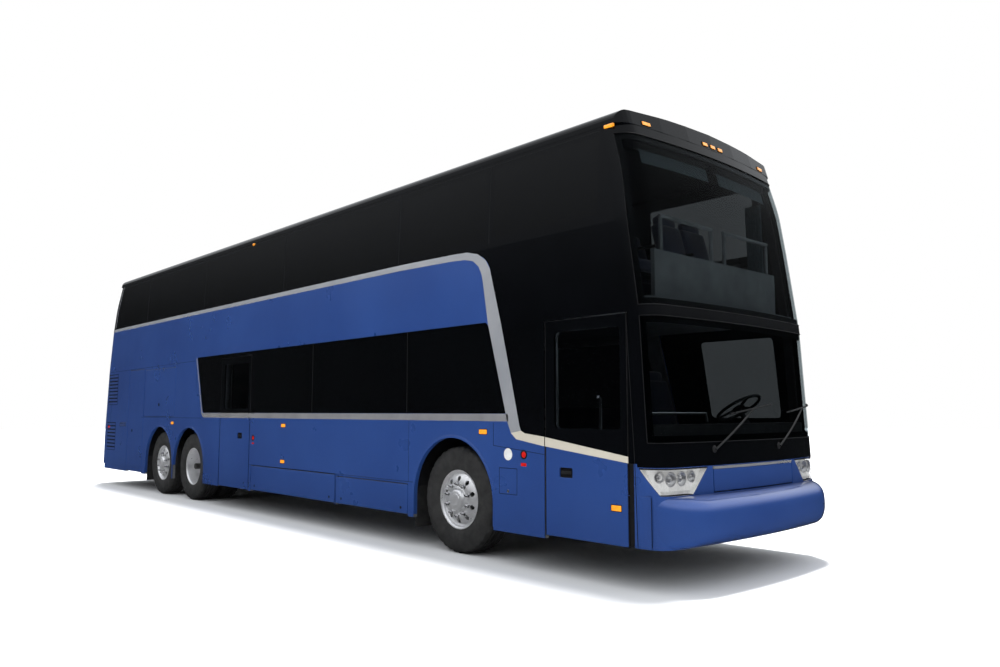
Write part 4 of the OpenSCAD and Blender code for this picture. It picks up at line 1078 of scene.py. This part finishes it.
# Side posts' return: from the corner back to where the flat sides begin
def wrap_s(values):
    return [-SIDE_S - 0.039] + values + [SIDE_S + 0.039]


screens = ((1.15, 2.16), (2.25, 3.73))


def in_screen(s, z):
    return abs(s) < S_POST and any(low < z < high for low, high in screens)


z_frame = sorted(set(span(0.962, 1.15, 3) + span(1.15, 2.16, 16) + span(2.16, 2.25, 2)
                     + span(2.25, 3.73, 24) + span(3.73, GUTTER, 3)))
s_frame = wrap_s(s_list((S_POST,)))
frame_piece = front_patch(z_frame, s_frame, "front_posts", BLACK, 0.02,
                          in_screen, out=-SKIN)
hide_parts("front_frame")
front_patch(z_frame, s_frame, "front_posts_lining", PLASTIC, 0.025,
            in_screen, out=-0.03)
s_glass = [s for s in s_list((S_POST,)) if abs(s) <= S_POST + 1e-4]
for n, (z0, z1) in enumerate(screens):
    zs = span(z0 + 0.003, z1 - 0.003, 18 if n == 0 else 24)
    pane = front_patch(zs, [s * 0.998 for s in s_glass], f"windscreen_{n}", SCREEN,
                       0.006, out=-0.005)
    if n == 0:
        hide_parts("windscreens")
    border = 0.055
    zs = sorted(set([z0 + 0.004, z0 + border, z1 - border, z1 - 0.004] + span(z0 + 0.1, z1 - 0.1, 10)))
    ss = sorted(set([s * 0.997 for s in s_glass] + [S_POST - border, border - S_POST]))
    front_patch(zs, ss, f"windscreen_border_{n}", BLACK, 0.003,
                lambda s, z: abs(s) < S_POST - border and z0 + border < z < z1 - border, out=-0.012)
    # Rubber line round the glass
    ring = [front_point(s, z0, -0.002) for s in s_glass]
    ring += [front_point(S_POST, z, -0.002) for z in span(z0, z1, 18)][1:]
    ring += [front_point(s, z1, -0.002) for s in s_glass[::-1]][1:]
    ring += [front_point(-S_POST, z, -0.002) for z in span(z1, z0, 18)][1:]
    piece_of(tube(ring, 0.004, 6), f"windscreen_seal_{n}", SEAL)

LAMP_LOW, LAMP_TOP = 0.742, 0.955


def lamp_edge(z):
    """The headlamp's inner and outer edges at a height, as distances along the plan."""
    t = (z - LAMP_LOW) / (LAMP_TOP - LAMP_LOW)
    return 0.92 - 0.2 * t, 1.262 + 0.18 * t


FLAP_S = plan_s(0.652)
s_mask = wrap_s(s_list((FLAP_S, plan_s(0.66))))
z_mask = sorted(set(span(CORNER_LOW, LAMP_LOW, 8) + [LAMP_LOW, 0.75, LAMP_TOP, 0.96]))


def mask_skip(s, z):
    return LAMP_LOW < z < LAMP_TOP


mask = front_patch(z_mask, s_mask, "front_mask_skin", PAINT, 0.01, mask_skip,
                   out=-SKIN)
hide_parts("front_mask")


def headlamp(side):
    """One headlamp and the paint at its ends: clear cover, pale housing with a painted glow, four
    bowls.
    """
    zs = span(LAMP_LOW, LAMP_TOP, 8)
    tag = "left" if side > 0 else "right"
    for name, s_of in (("inner", lambda z, t: 0.663 + (lamp_edge(z)[0] - 0.663) * t),
                       ("outer", lambda z, t: lamp_edge(z)[1]
                        + (SIDE_S + 0.039 - lamp_edge(z)[1]) * t)):
        bm = grid_patch(lambda t, z, d: front_point(side * s_of(z, t), z, d - SKIN),
                        span(0, 1, 10), zs, 0.01)
        piece_of(bm, f"lamp_side_{name}_{tag}", PAINT)

    def lamp_point(t, z, d, inset=0.002, back=0.0):
        a, b = lamp_edge(z)
        along = a + inset + (b - a - 2 * inset) * t
        return front_point(side * along, z, d - 0.004 - back)

    zs = span(LAMP_LOW + 0.005, LAMP_TOP - 0.006, 10)
    cover = piece_of(grid_patch(lambda t, z, d: lamp_point(t, z, d), span(0, 1, 22), zs, 0.003),
                     f"headlamp_cover_{tag}", tinted(f"headlamp_cover_{tag}", (0.97, 0.97, 0.97),
                                                     0.86, 0.03), "body")
    if side > 0:
        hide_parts("lamps")
    # The housing's back and side walls carry its painted glow
    piece_of(grid_patch(lambda t, z, d: lamp_point(t, z, d, 0.004, 0.055), span(0, 1, 22), zs, 0.004),
             f"headlamp_back_painted_glow_{tag}", HOUSING_PAINTED_GLOW)
    for w in (0.0, 1.0):
        wall = grid_patch(lambda t, z, d: lamp_point(w, z, 0.0, 0.004 + abs(d), 0.003 + 0.055 * t),
                          span(0, 1, 3), zs, 0.003)
        piece_of(wall, f"headlamp_wall_{tag}_{w:.0f}", HOUSING_PAINTED_GLOW)
    piece_of(grid_patch(lambda t, z, d: lamp_point(t, z, 10 * d - 0.002 if d else 0.0, 0.002),
                        span(0, 1, 22), [LAMP_TOP - 0.012, LAMP_TOP - 0.006], 0.005),
             f"headlamp_lid_{tag}", PLASTIC, "body")
    bowls = []
    for along, z, r in ((0.90, 0.88, 0.05), (1.02, 0.868, 0.06), (1.15, 0.868, 0.06),
                        (1.27, 0.885, 0.045)):
        centre = front_point(side * along, z, -0.05)
        bowl = lathe([(0.018, r), (0.02, r - 0.004), (0.0, r * 0.8), (-0.012, r * 0.45),
                      (0.002, r * 0.42), (0.012, r * 0.3), (0.016, 0.0)], 32, (0, 0, 0), 1)
        turn = side * max(0.0, along - 1.1) / CORNER_R * 0.6
        for vertex in bowl.verts:
            out, across, rise = vertex.co.y, vertex.co.x, vertex.co.z
            vertex.co = Vector((out * math.cos(turn) - across * math.sin(turn),
                                out * math.sin(turn) + across * math.cos(turn), rise)) + centre
        bowls.append(bowl)
    piece_of(merge(*bowls), f"headlamp_bowls_{tag}", ALLOY, "body", 50)
    bm = grid_patch(lambda t, z, d: lamp_point(t * 0.9 + 0.05, z, 2 * d, 0.01, 0.03),
                    span(0, 1, 22), [LAMP_LOW + 0.014, LAMP_LOW + 0.034], 0.006)
    piece_of(bm, f"headlamp_strip_{tag}", CLEAR)


for side in (-1, 1):
    headlamp(side)

# Hood flap with its bright strip
flap_low, flap_high = box("front_flap")
s_flap = span(-FLAP_S, FLAP_S, 30)
flap = front_patch(span(flap_low.z + 0.002, flap_high.z - 0.026, 8), s_flap, "hood_skin", PAINT,
                   0.012, out=-SKIN, body="front_flap")
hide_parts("front_flap")
front_patch([flap_high.z - 0.024, flap_high.z - 0.012, flap_high.z - 0.002], s_flap, "hood_strip",
            CHROME, 0.012, out=-0.001, body="front_flap")
front_patch(span(flap_low.z - 0.006, flap_high.z, 4), [s * 1.008 for s in s_flap], "hood_backing",
            SEAL, 0.006, out=-0.045)

# Bumper: smooth rows between the frame's own sections
ROWS = [(0.337, 0.22, 0.30), (0.352, 0.115, 0.36), (0.40, 0.045, 0.42), (0.46, 0.014, 0.44),
        (0.52, 0.002, 0.45), (0.6, 0.004, 0.45), (0.655, 0.018, 0.44), (0.692, 0.048, 0.42),
        (0.718, 0.095, 0.38), (0.732, 0.15, 0.35), (0.738, 0.215, 0.32)]
bumper = bmesh.new()
rings = []
for k in range((len(ROWS) - 1) * 3 + 1):
    i, t = min(len(ROWS) - 2, k // 3), (k % 3) / 3 if k < (len(ROWS) - 1) * 3 else 1.0
    p = [ROWS[max(0, min(len(ROWS) - 1, i + j - 1))] for j in range(4)]
    z, nose, corner = (0.5 * (2 * p[1][c] + (p[2][c] - p[0][c]) * t
                              + (2 * p[0][c] - 5 * p[1][c] + 4 * p[2][c] - p[3][c]) * t ** 2
                              + (3 * p[1][c] - p[0][c] - 3 * p[2][c] + p[3][c]) * t ** 3)
                       for c in range(3))
    turn = math.asin((HALF_W - corner) / (BOW_R - corner))
    reach = BOW_R * turn + corner * (math.pi / 2 - turn)
    ring = []
    for s in span(-reach, reach, 72):
        back, y, angle = plan(s, BOW_R, corner)
        ring.append(bumper.verts.new((FRONT - nose - back - 0.002, y * (1 - 0.005 / HALF_W), z)))
    end_x = box("front_bumper")[0].x
    ring = [bumper.verts.new((end_x, ring[0].co.y, z))] + ring + [
        bumper.verts.new((end_x, ring[-1].co.y, z))]
    rings.append(ring)
for r0, r1 in zip(rings, rings[1:]):
    for a, b, c, d in zip(r0, r0[1:], r1[1:], r1):
        bumper.faces.new((a, b, c, d))
bumper_piece = piece_of(bumper, "bumper_skin", PAINT, smooth_angle=50)
thick = bumper_piece.modifiers.new("thickness", "SOLIDIFY")
thick.thickness = 0.004
thick.offset = -1
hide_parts("front_bumper")
for side in (-1, 1):
    line = [(end_x + 0.001, side * (HALF_W - 0.0055), z) for z, _, _ in ROWS[1:10]]
    piece_of(tube(line, 0.0028, 6), f"bumper_joint_{'l' if side > 0 else 'r'}", SEAL)
lower_lip = [front_point(s, 0.345, -0.1) for s in span(-plan_s(1.2), plan_s(1.2), 30)]
piece_of(tube(lower_lip, 0.02, 8), "bumper_lower_lip", PLASTIC)

# Dark seal between door and front corner, full height of the door
for side in (-1, 1):
    post = [Vector((front_line(z) - 0.02, side * (HALF_W - 0.004), z)) for z in span(0.34, 2.2, 20)]
    piece_of(tube(post, 0.0035, 6), f"corner_seal_{'l' if side > 0 else 'r'}", SEAL)

# Wipers: pivots under the glass, arms and blades on it
for n, (pivot_y, tip_y, tip_z) in enumerate(((-0.62, -0.02, 1.42), (0.42, 0.98, 1.43))):
    base = front_point(plan_s(pivot_y), 1.09, -0.0005)
    parts = [lathe([(-0.02, 0.0), (-0.02, 0.032), (0.0, 0.03), (0.006, 0.02), (0.006, 0.0)], 24,
                   (0, 0, 0), 1)]
    for vertex in parts[0].verts:
        vertex.co = Vector((vertex.co.y, vertex.co.x, vertex.co.z)) + base
    points = []
    for t in span(0, 1, 10):
        y, z = pivot_y + (tip_y - pivot_y) * t, 1.09 + (tip_z - 1.09) * t
        points.append(front_point(plan_s(y), z, 0.012 + 0.012 * math.sin(math.pi * t)))
    parts.append(tube(points, 0.009, 8))
    blade = []
    for t in span(-1, 1, 12):
        y = tip_y + 0.36 * t * 0.97
        z = tip_z + 0.36 * t * 0.12
        blade.append(front_point(plan_s(max(-1.13, min(1.13, y))), z, 0.004))
    parts.append(tube(blade, 0.007, 6))
    spine = [p + Vector((0.011, 0, 0.0)) for p in blade[1:-1]]
    parts.append(tube(spine, 0.006, 6))
    piece_of(merge(*parts), f"wiper_{n}", PLASTIC, smooth_angle=40)

# Rolled blinds at the top of the upper screen, with a strip of their cloth under each
for n, (ya, yb) in enumerate(((-1.08, -0.06), (0.06, 1.08))):
    roll = [front_point(plan_s(y), 3.66, -0.09) for y in span(ya, yb, 12)]
    piece_of(tube(roll, 0.035, 12), f"blind_roll_{n}", PLASTIC)
    sheet = grid_patch(lambda s, z, d: front_point(s, z, d - 0.09), span(plan_s(ya + 0.03),
                       plan_s(yb - 0.03), 16), span(3.5, 3.65, 3), 0.002)
    piece_of(sheet, f"blind_cloth_{n}", CURTAIN)

# Marker lamps over the upper screen and along the gutter
for n, y in enumerate((-0.98, -0.13, 0.0, 0.13, 0.98)):
    s = plan_s(y)
    wide = 0.05 if abs(y) > 0.5 else 0.035
    front_patch(span(3.835, 3.875, 3), span(s - wide - 0.01, s + wide + 0.01, 6),
                f"roof_lamp_base_{n}", SEAL, 0.01, out=0.002)
    front_patch(span(3.84, 3.87, 3), span(s - wide, s + wide, 6), f"roof_lamp_{n}", AMBER,
                0.012, out=0.008)
for hand, side in (("right", -1), ("left", 1)):
    for n, (x, long) in enumerate(((AXLE - 4.55, 0.05), (AXLE + 2.03, 0.1))):
        y = half_at(GUTTER - 0.02) - 0.001
        bm = rounded_box((x - long / 2, side * y - 0.012, GUTTER - 0.03),
                         (x + long / 2, side * y + 0.012, GUTTER - 0.002), 0.004)
        piece_of(bm, f"gutter_lamp_{hand}_{n}", AMBER)

# ---- roof ------------------------------------------------------------------------------

roof_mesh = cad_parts["roof"].data.copy()
roof_mesh.name = "roof_skin"
for vertex in roof_mesh.vertices:
    if vertex.co.z > GUTTER + 0.05:
        vertex.co.z -= 0.006 * (vertex.co.z - GUTTER) / (TOP - GUTTER)
roof = finish_piece(roof_mesh, "roof_skin", BLACK, "body", 28)
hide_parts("roof")
for n, x in enumerate((4.2, 0.2, -3.6)):
    hatch = rounded_box((x - 0.4, -0.38, TOP - 0.04), (x + 0.4, 0.38, TOP - 0.0002), 0.01, 3)
    piece_of(hatch, f"roof_hatch_{n}", PLASTIC)
    rim = [(x - 0.43, -0.41, TOP - 0.014), (x + 0.43, -0.41, TOP - 0.014),
           (x + 0.43, 0.41, TOP - 0.014), (x - 0.43, 0.41, TOP - 0.014),
           (x - 0.43, -0.41, TOP - 0.014)]
    piece_of(tube(rim, 0.009, 8), f"roof_hatch_seal_{n}", SEAL)
for n, x in enumerate((5.2, 2.2, -1.7, -5.2)):
    line = []
    for y in span(-1.12, 1.12, 24):
        drop = 0.012 * abs(y) / 0.62 if abs(y) < 0.62 else 0.012 + (abs(y) - 0.62) * 0.062
        line.append((x, y, TOP - 0.007 - drop))
    piece_of(tube(line, 0.004, 6), f"roof_joint_{n}", SEAL)

# ---- rear ------------------------------------------------------------------------------


def rear_patch(z_values, s_values, name, material, thickness=0.006, skip=None, out=0.0,
               body="body"):
    bm = grid_patch(lambda s, z, d: rear_point(s, z, out + d), s_values, z_values, thickness, skip)
    return piece_of(bm, name, material, body)


def rear_s(y):
    return math.copysign(REAR_BOW_R * math.asin(min(abs(y), HALF_W) / REAR_BOW_R), y)


door_s, win_s = rear_s(0.86), rear_s(1.02)
lamp_s = (rear_s(0.965), rear_s(1.155))
corner_values = [REAR_S - 0.27 * k / 12 for k in range(13)]
s_rear = sorted(set(span(-REAR_S, REAR_S, 36) + corner_values + [-v for v in corner_values]
                    + [door_s, -door_s, win_s, -win_s, *lamp_s, -lamp_s[0], -lamp_s[1]]))
s_rear = [-REAR_S - 0.039] + s_rear + [REAR_S + 0.039]
z_rear = sorted(set(span(0.392, 0.52, 3) + span(0.52, 1.96, 20) + [1.0, 1.75] + span(1.96, 2.86, 10)
                    + span(2.86, 3.69, 12) + [3.69, 3.8, GUTTER]))


def rear_skip(s, z):
    a = abs(s)
    return ((a < door_s and 0.52 < z < 1.96) or (a < win_s and 2.86 < z < 3.69)
            or (lamp_s[0] < a < lamp_s[1] and 1.0 < z < 1.75))


def rear_black(s, z):
    return z > 2.99


shell = rear_patch(z_rear, s_rear, "rear_skin", PAINT, 0.02,
                   lambda s, z: rear_skip(s, z) or rear_black(s, z), out=-SKIN)
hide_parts("rear_panel")
rear_patch(sorted(set([2.99] + [z for z in z_rear if z > 2.86])), s_rear, "rear_band", BLACK,
           0.02, lambda s, z: rear_skip(s, z) or not rear_black(s, z), out=-SKIN)
rear_patch([2.955, 2.97, 2.985], s_rear, "rear_pale_strip", SILVER, 0.004,
           lambda s, z: abs(s) < win_s + 0.03, out=-0.001)
pane = rear_patch(span(2.863, 3.687, 12), [s for s in s_rear if abs(s) <= win_s], "rear_pane",
                  GLASS, 0.008, out=-0.008)
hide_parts("rear_window")
inner_s = [s * 0.995 for s in s_rear if abs(s) <= door_s]
door = rear_patch(span(0.528, 1.958, 20), inner_s, "engine_door_skin", PAINT, 0.025,
                  lambda s, z: abs(s) < rear_s(0.66) and (0.62 < z < 0.84 or 1.24 < z < 1.82),
                  out=-SKIN, body="engine_door")
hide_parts("engine_door")
rear_patch(span(0.5, 1.97, 12), [s * 1.01 for s in s_rear if abs(s) <= door_s], "engine_door_seal",
           SEAL, 0.006, lambda s, z: abs(s) < rear_s(0.82) and 0.55 < z < 1.93,
           out=-0.03)
for n, (z0, z1, count) in enumerate(((0.6, 0.86, 5), (1.2, 1.84, 11))):
    rear_patch([z0, (z0 + z1) / 2, z1], span(-rear_s(0.69), rear_s(0.69), 12),
               f"engine_grille_back_{n}", SEAL, 0.003, out=-0.03,
               body="engine_door")
    blades = []
    for k in range(count):
        z = z0 + (z1 - z0) * (k + 0.5) / count
        blades.append(grid_patch(lambda s, h, d: rear_point(s, h, d - 0.004 - 0.35 * (h - z + 0.02)),
                                 span(-rear_s(0.68), rear_s(0.68), 14), span(z - 0.018, z + 0.018, 2),
                                 0.004))
    piece_of(merge(*blades), f"engine_grille_blades_{n}", PAINT, "engine_door", smooth_angle=25)
handle = [rear_point(s, 0.93, -0.006) for s in span(-0.12, 0.12, 8)]
piece_of(tube(handle, 0.009, 10), "engine_door_handle", NUT, "engine_door")
rear_patch([1.0, 1.06, 1.12], span(-0.16, 0.16, 6), "plate_blank", WHITE, 0.004,
           out=0.0, body="engine_door")
for side in (-1, 1):
    tag = "left" if side > 0 else "right"
    lamp_s_values = sorted(side * s for s in span(*lamp_s, 6))
    rear_patch(span(1.0, 1.75, 10), lamp_s_values, f"tail_back_{tag}", PLASTIC, 0.02,
               out=-0.03)
    for k, (z, material) in enumerate(((1.09, CLEAR), (1.25, AMBER), (1.42, RED), (1.62, RED))):
        mid_s = side * (lamp_s[0] + lamp_s[1]) / 2
        centre = rear_point(mid_s, z, -0.018)
        disc = lathe([(-0.01, 0.0), (-0.01, 0.075), (0.006, 0.073), (0.013, 0.06), (0.015, 0.03),
                      (0.015, 0.0)], 40, (0, 0, 0), 1)
        for vertex in disc.verts:
            vertex.co = Vector((-vertex.co.y, vertex.co.x, vertex.co.z)) + centre
        piece_of(disc, f"tail_lamp_{tag}_{k}", material, "body", 40)
    for k, y in enumerate((0.95, 0.35)):
        s = rear_s(side * y)
        rear_patch([3.755, 3.77, 3.785], span(s - 0.045, s + 0.045, 4), f"rear_marker_{tag}_{k}", RED,
                   0.006, out=-0.0005)
lower = [rear_point(s, 0.42, -0.04) for s in span(-REAR_S + 0.1, REAR_S - 0.1, 30)]
piece_of(tube(lower, 0.025, 10), "rear_lower_edge", PLASTIC)

# ---- inside ----------------------------------------------------------------------------


def block(node, material):
    """A frame node stays shown in a finish of its own."""
    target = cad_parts[node]
    target.data.materials.clear()
    target.data.materials.append(material)


for node, material in (("underframe", CHASSIS), ("axles", CHASSIS), ("engine_block", IRON),
                       ("knuckle_left", CHASSIS), ("knuckle_right", CHASSIS),
                       ("wheel_housings", PLASTIC), ("lower_deck", GREY), ("upper_deck", GREY),
                       ("stairs", GREY), ("dashboard", PLASTIC), ("steering_wheel", PLASTIC),
                       ("guard_rails", GREY), ("front_door_arm", CHASSIS),
                       ("mid_door_arm", CHASSIS), ("mud_flaps", RUBBER)):
    block(node, material)


def bulged(low, high, radius, puff, cuts=5):
    """A cushion block: rounded edges and faces that swell in the middle."""
    bm = rounded_box(low, high, radius, 3)
    bmesh.ops.subdivide_edges(bm, edges=[e for e in bm.edges if e.calc_length() > 0.1], cuts=cuts,
                              use_grid_fill=True)
    centre = (Vector(low) + Vector(high)) / 2
    half = (Vector(high) - Vector(low)) / 2
    for vertex in bm.verts:
        rel = Vector([(vertex.co[i] - centre[i]) / half[i] for i in range(3)])
        for i in range(3):
            j, k = (i + 1) % 3, (i + 2) % 3
            swell = max(0.0, 1 - rel[j] ** 2) * max(0.0, 1 - rel[k] ** 2)
            vertex.co[i] += puff * rel[i] * swell * (1 if half[i] < 0.12 else 0.3)
    return bm


def seat_mesh(width):
    """One place: cushion, back leaning by the frame's angle, and headrest."""
    w = width / 2 - 0.012
    cushion = bulged((-0.2, -w, 0.32), (0.225, w, 0.435), 0.028, 0.012)
    back = bulged((-0.055, -w, 0.0), (0.045, w, 0.6), 0.03, 0.014)
    head = bulged((-0.05, -w * 0.72, 0.59), (0.04, w * 0.72, 0.7), 0.028, 0.01)
    lean = math.radians(14.6)
    for part in (back, head):
        for vertex in part.verts:
            x, z = vertex.co.x, vertex.co.z
            vertex.co.x = -0.205 + x * math.cos(lean) - z * math.sin(lean)
            vertex.co.z = 0.425 + z * math.cos(lean) + x * math.sin(lean)
    return merge(cushion, back, head)


def leg_mesh(width):
    w = width / 2
    parts = [rounded_box((-0.06, -w * 0.75, 0.0), (-0.02, -w * 0.65, 0.33), 0.006),
             rounded_box((-0.06, w * 0.65, 0.0), (-0.02, w * 0.75, 0.33), 0.006),
             rounded_box((-0.19, -w + 0.02, 0.3), (0.2, w - 0.02, 0.325), 0.006),
             rounded_box((-0.16, -w - 0.0, 0.6), (0.12, -w + 0.03, 0.63), 0.01),
             rounded_box((-0.16, w - 0.03, 0.6), (0.12, w - 0.0, 0.63), 0.01)]
    return merge(*parts)


def make_mesh(bm, name, material):
    """A mesh that several pieces share."""
    bmesh.ops.recalc_face_normals(bm, faces=bm.faces)
    mesh = bpy.data.meshes.new(name)
    bm.to_mesh(mesh)
    bm.free()
    for polygon in mesh.polygons:
        polygon.use_smooth = True
    mesh.set_sharp_from_angle(angle=math.radians(50))
    mesh.materials.append(material)
    return mesh


SEAT_W = 0.9
pair = [seat_mesh(0.44), seat_mesh(0.44)]
for bm, y in zip(pair, (-0.226, 0.226)):
    bmesh.ops.translate(bm, verts=bm.verts, vec=(0, y, 0))
pair_mesh = make_mesh(merge(*pair), "seat_pair", CLOTH)
legs_mesh = make_mesh(leg_mesh(SEAT_W), "seat_pair_frame", PLASTIC)
SEAT_Y = 1.235 - 0.04 - SEAT_W / 2
STAIR_LOW, STAIR_HIGH = box("stairs")
SEAT_PITCH = 0.8
ROW_FRONT, ROW_BACK = 0.24, 0.41      # from a row's middle to its front edge and its back


def clear_above(x):
    """Whether a left row on the upper deck misses the stairwell."""
    return x - 0.44 > STAIR_HIGH.x or x + 0.26 < STAIR_LOW.x + 0.5


def clear_below(x):
    return x - 0.42 > STAIR_HIGH.x


places = []
for deck, node, is_clear in (("up", "seats_upper", clear_above), ("low", "seats_lower", clear_below)):
    low, high = box(node)
    x = high.x - ROW_FRONT
    while x - ROW_BACK > low.x - 0.01:
        places.append((deck, x, -1, low.z))
        if is_clear(x):
            places.append((deck, x, 1, low.z))
        x -= SEAT_PITCH


def set_down(mesh, name, at, body):
    piece = bpy.data.objects.new(name, mesh)
    bpy.context.scene.collection.objects.link(piece)
    piece.location = at
    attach(piece, body)
    return piece


for n, (deck, x, side, z) in enumerate(places):
    at = (x, side * SEAT_Y, z)
    cushion = set_down(pair_mesh, f"seat_{deck}_{n}", at, "body")
    set_down(legs_mesh, f"seat_frame_{deck}_{n}", at, "body")
    if n == 0:
        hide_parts("seats_upper", "seats_lower")
seat_low, seat_high = box("driver_seat")
driver = make_mesh(seat_mesh(0.47), "driver_seat_pads", CLOTH)
centre_x = seat_high.x - 0.24
driver_piece = set_down(driver, "driver_seat_pads", (centre_x, middle("driver_seat").y, seat_low.z),
                        "body")
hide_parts("driver_seat")
stand = merge(lathe([(0.0, 0.0), (0.0, 0.17), (0.02, 0.17), (0.04, 0.09), (0.26, 0.08),
                     (0.29, 0.16), (0.32, 0.16), (0.32, 0.0)], 32, (0, 0, 0), 1))
for vertex in stand.verts:
    vertex.co = Vector((vertex.co.x, vertex.co.z, vertex.co.y)) + Vector(
        (centre_x, middle("driver_seat").y, seat_low.z))
piece_of(stand, "driver_seat_stand", PLASTIC)

# Curtains drawn beside the driver and the front row, gathered in folds
for n, side in enumerate((1, -1)):
    bm = bmesh.new()
    rows = []
    for z in span(2.5, 3.55, 6):
        y_wall = half_at(z) - 0.09
        rows.append([bm.verts.new((5.95 + 0.18 * t, side * (y_wall + 0.018 * math.sin(t * 38)), z))
                     for t in span(0, 1, 48)])
    for r0, r1 in zip(rows, rows[1:]):
        for a, b, c, d in zip(r0, r0[1:], r1[1:], r1):
            bm.faces.new((a, b, c, d))
    curtain = piece_of(bm, f"curtain_{n}", CURTAIN, smooth_angle=80)
    curtain.modifiers.new("thickness", "SOLIDIFY").thickness = 0.002

# Hand rail over the dash
rail = [(AXLE + 2.16, -1.0, 1.3), (AXLE + 2.16, -0.98, 1.38), (AXLE + 2.16, -0.1, 1.38),
        (AXLE + 2.16, -0.08, 1.3)]
piece_of(tube(rail, 0.014), "dash_rail", NUT, "body")

# ---- stage, light and camera -----------------------------------------------------------

floor_mesh = bpy.data.meshes.new("floor")
floor_bm = bmesh.new()
bmesh.ops.create_grid(floor_bm, x_segments=8, y_segments=8, size=60)
floor_bm.to_mesh(floor_mesh)
floor_bm.free()
floor = bpy.data.objects.new("floor", floor_mesh)
floor.location.z = -0.002
bpy.context.scene.collection.objects.link(floor)
floor.visible_glossy = False
ground = Graph("floor_white")
ground.link(ground.mix(ground.noise(0.3), (0.9, 0.9, 0.9), (0.93, 0.93, 0.93)),
            ground.shader.inputs["Base Color"])
ground.set(Roughness=0.9, Specular_IOR_Level=0.0)
floor_mesh.materials.append(ground.material)

world = bpy.data.worlds.new("world")
bpy.context.scene.world = world
world.use_nodes = True
tree = world.node_tree
sky = tree.nodes["Background"]
sky.inputs["Color"].default_value = (0.93, 0.96, 1.0, 1)
direction = tree.nodes.new("ShaderNodeTexCoord")
split = tree.nodes.new("ShaderNodeSeparateXYZ")
rise = tree.nodes.new("ShaderNodeMapRange")
rise.interpolation_type = "SMOOTHSTEP"
rise.inputs["From Min"].default_value = 0.1
rise.inputs["From Max"].default_value = 0.55
rise.inputs["To Min"].default_value = 0.03
rise.inputs["To Max"].default_value = 1.2
tree.links.new(direction.outputs["Generated"], split.inputs[0])
tree.links.new(split.outputs["Z"], rise.inputs["Value"])
tree.links.new(rise.outputs["Result"], sky.inputs["Strength"])
white = tree.nodes.new("ShaderNodeBackground")
white.inputs["Color"].default_value = (1, 1, 1, 1)
white.inputs["Strength"].default_value = 1.0
path = tree.nodes.new("ShaderNodeLightPath")
pick = tree.nodes.new("ShaderNodeMixShader")
tree.links.new(path.outputs["Is Camera Ray"], pick.inputs[0])
tree.links.new(sky.outputs[0], pick.inputs[1])
tree.links.new(white.outputs[0], pick.inputs[2])
tree.links.new(pick.outputs[0], tree.nodes["World Output"].inputs["Surface"])

sun = bpy.data.lights.new("sun", "SUN")
sun.energy = 4.4
sun.angle = math.radians(9)
sun_object = bpy.data.objects.new("sun", sun)
sun_object.rotation_mode = "QUATERNION"
sun_object.rotation_quaternion = Vector((0.12, -0.14, -1)).to_track_quat("-Z", "Y")
bpy.context.scene.collection.objects.link(sun_object)

yaw, pitch = math.radians(47.05), math.radians(5.59)
camera = bpy.data.cameras.new("camera")
camera.lens = 28.71
camera.sensor_width = 36
camera.clip_end = 300
camera_object = bpy.data.objects.new("camera", camera)
aim = Vector((-math.sin(yaw) * math.cos(pitch), math.cos(yaw) * math.cos(pitch), math.sin(pitch)))
camera_object.location = (10.2655, -6.397, 1.396)
camera_object.rotation_mode = "QUATERNION"
camera_object.rotation_quaternion = aim.to_track_quat("-Z", "Y")
bpy.context.scene.collection.objects.link(camera_object)
bpy.context.scene.camera = camera_object
bpy.context.scene.view_settings.view_transform = "Standard"
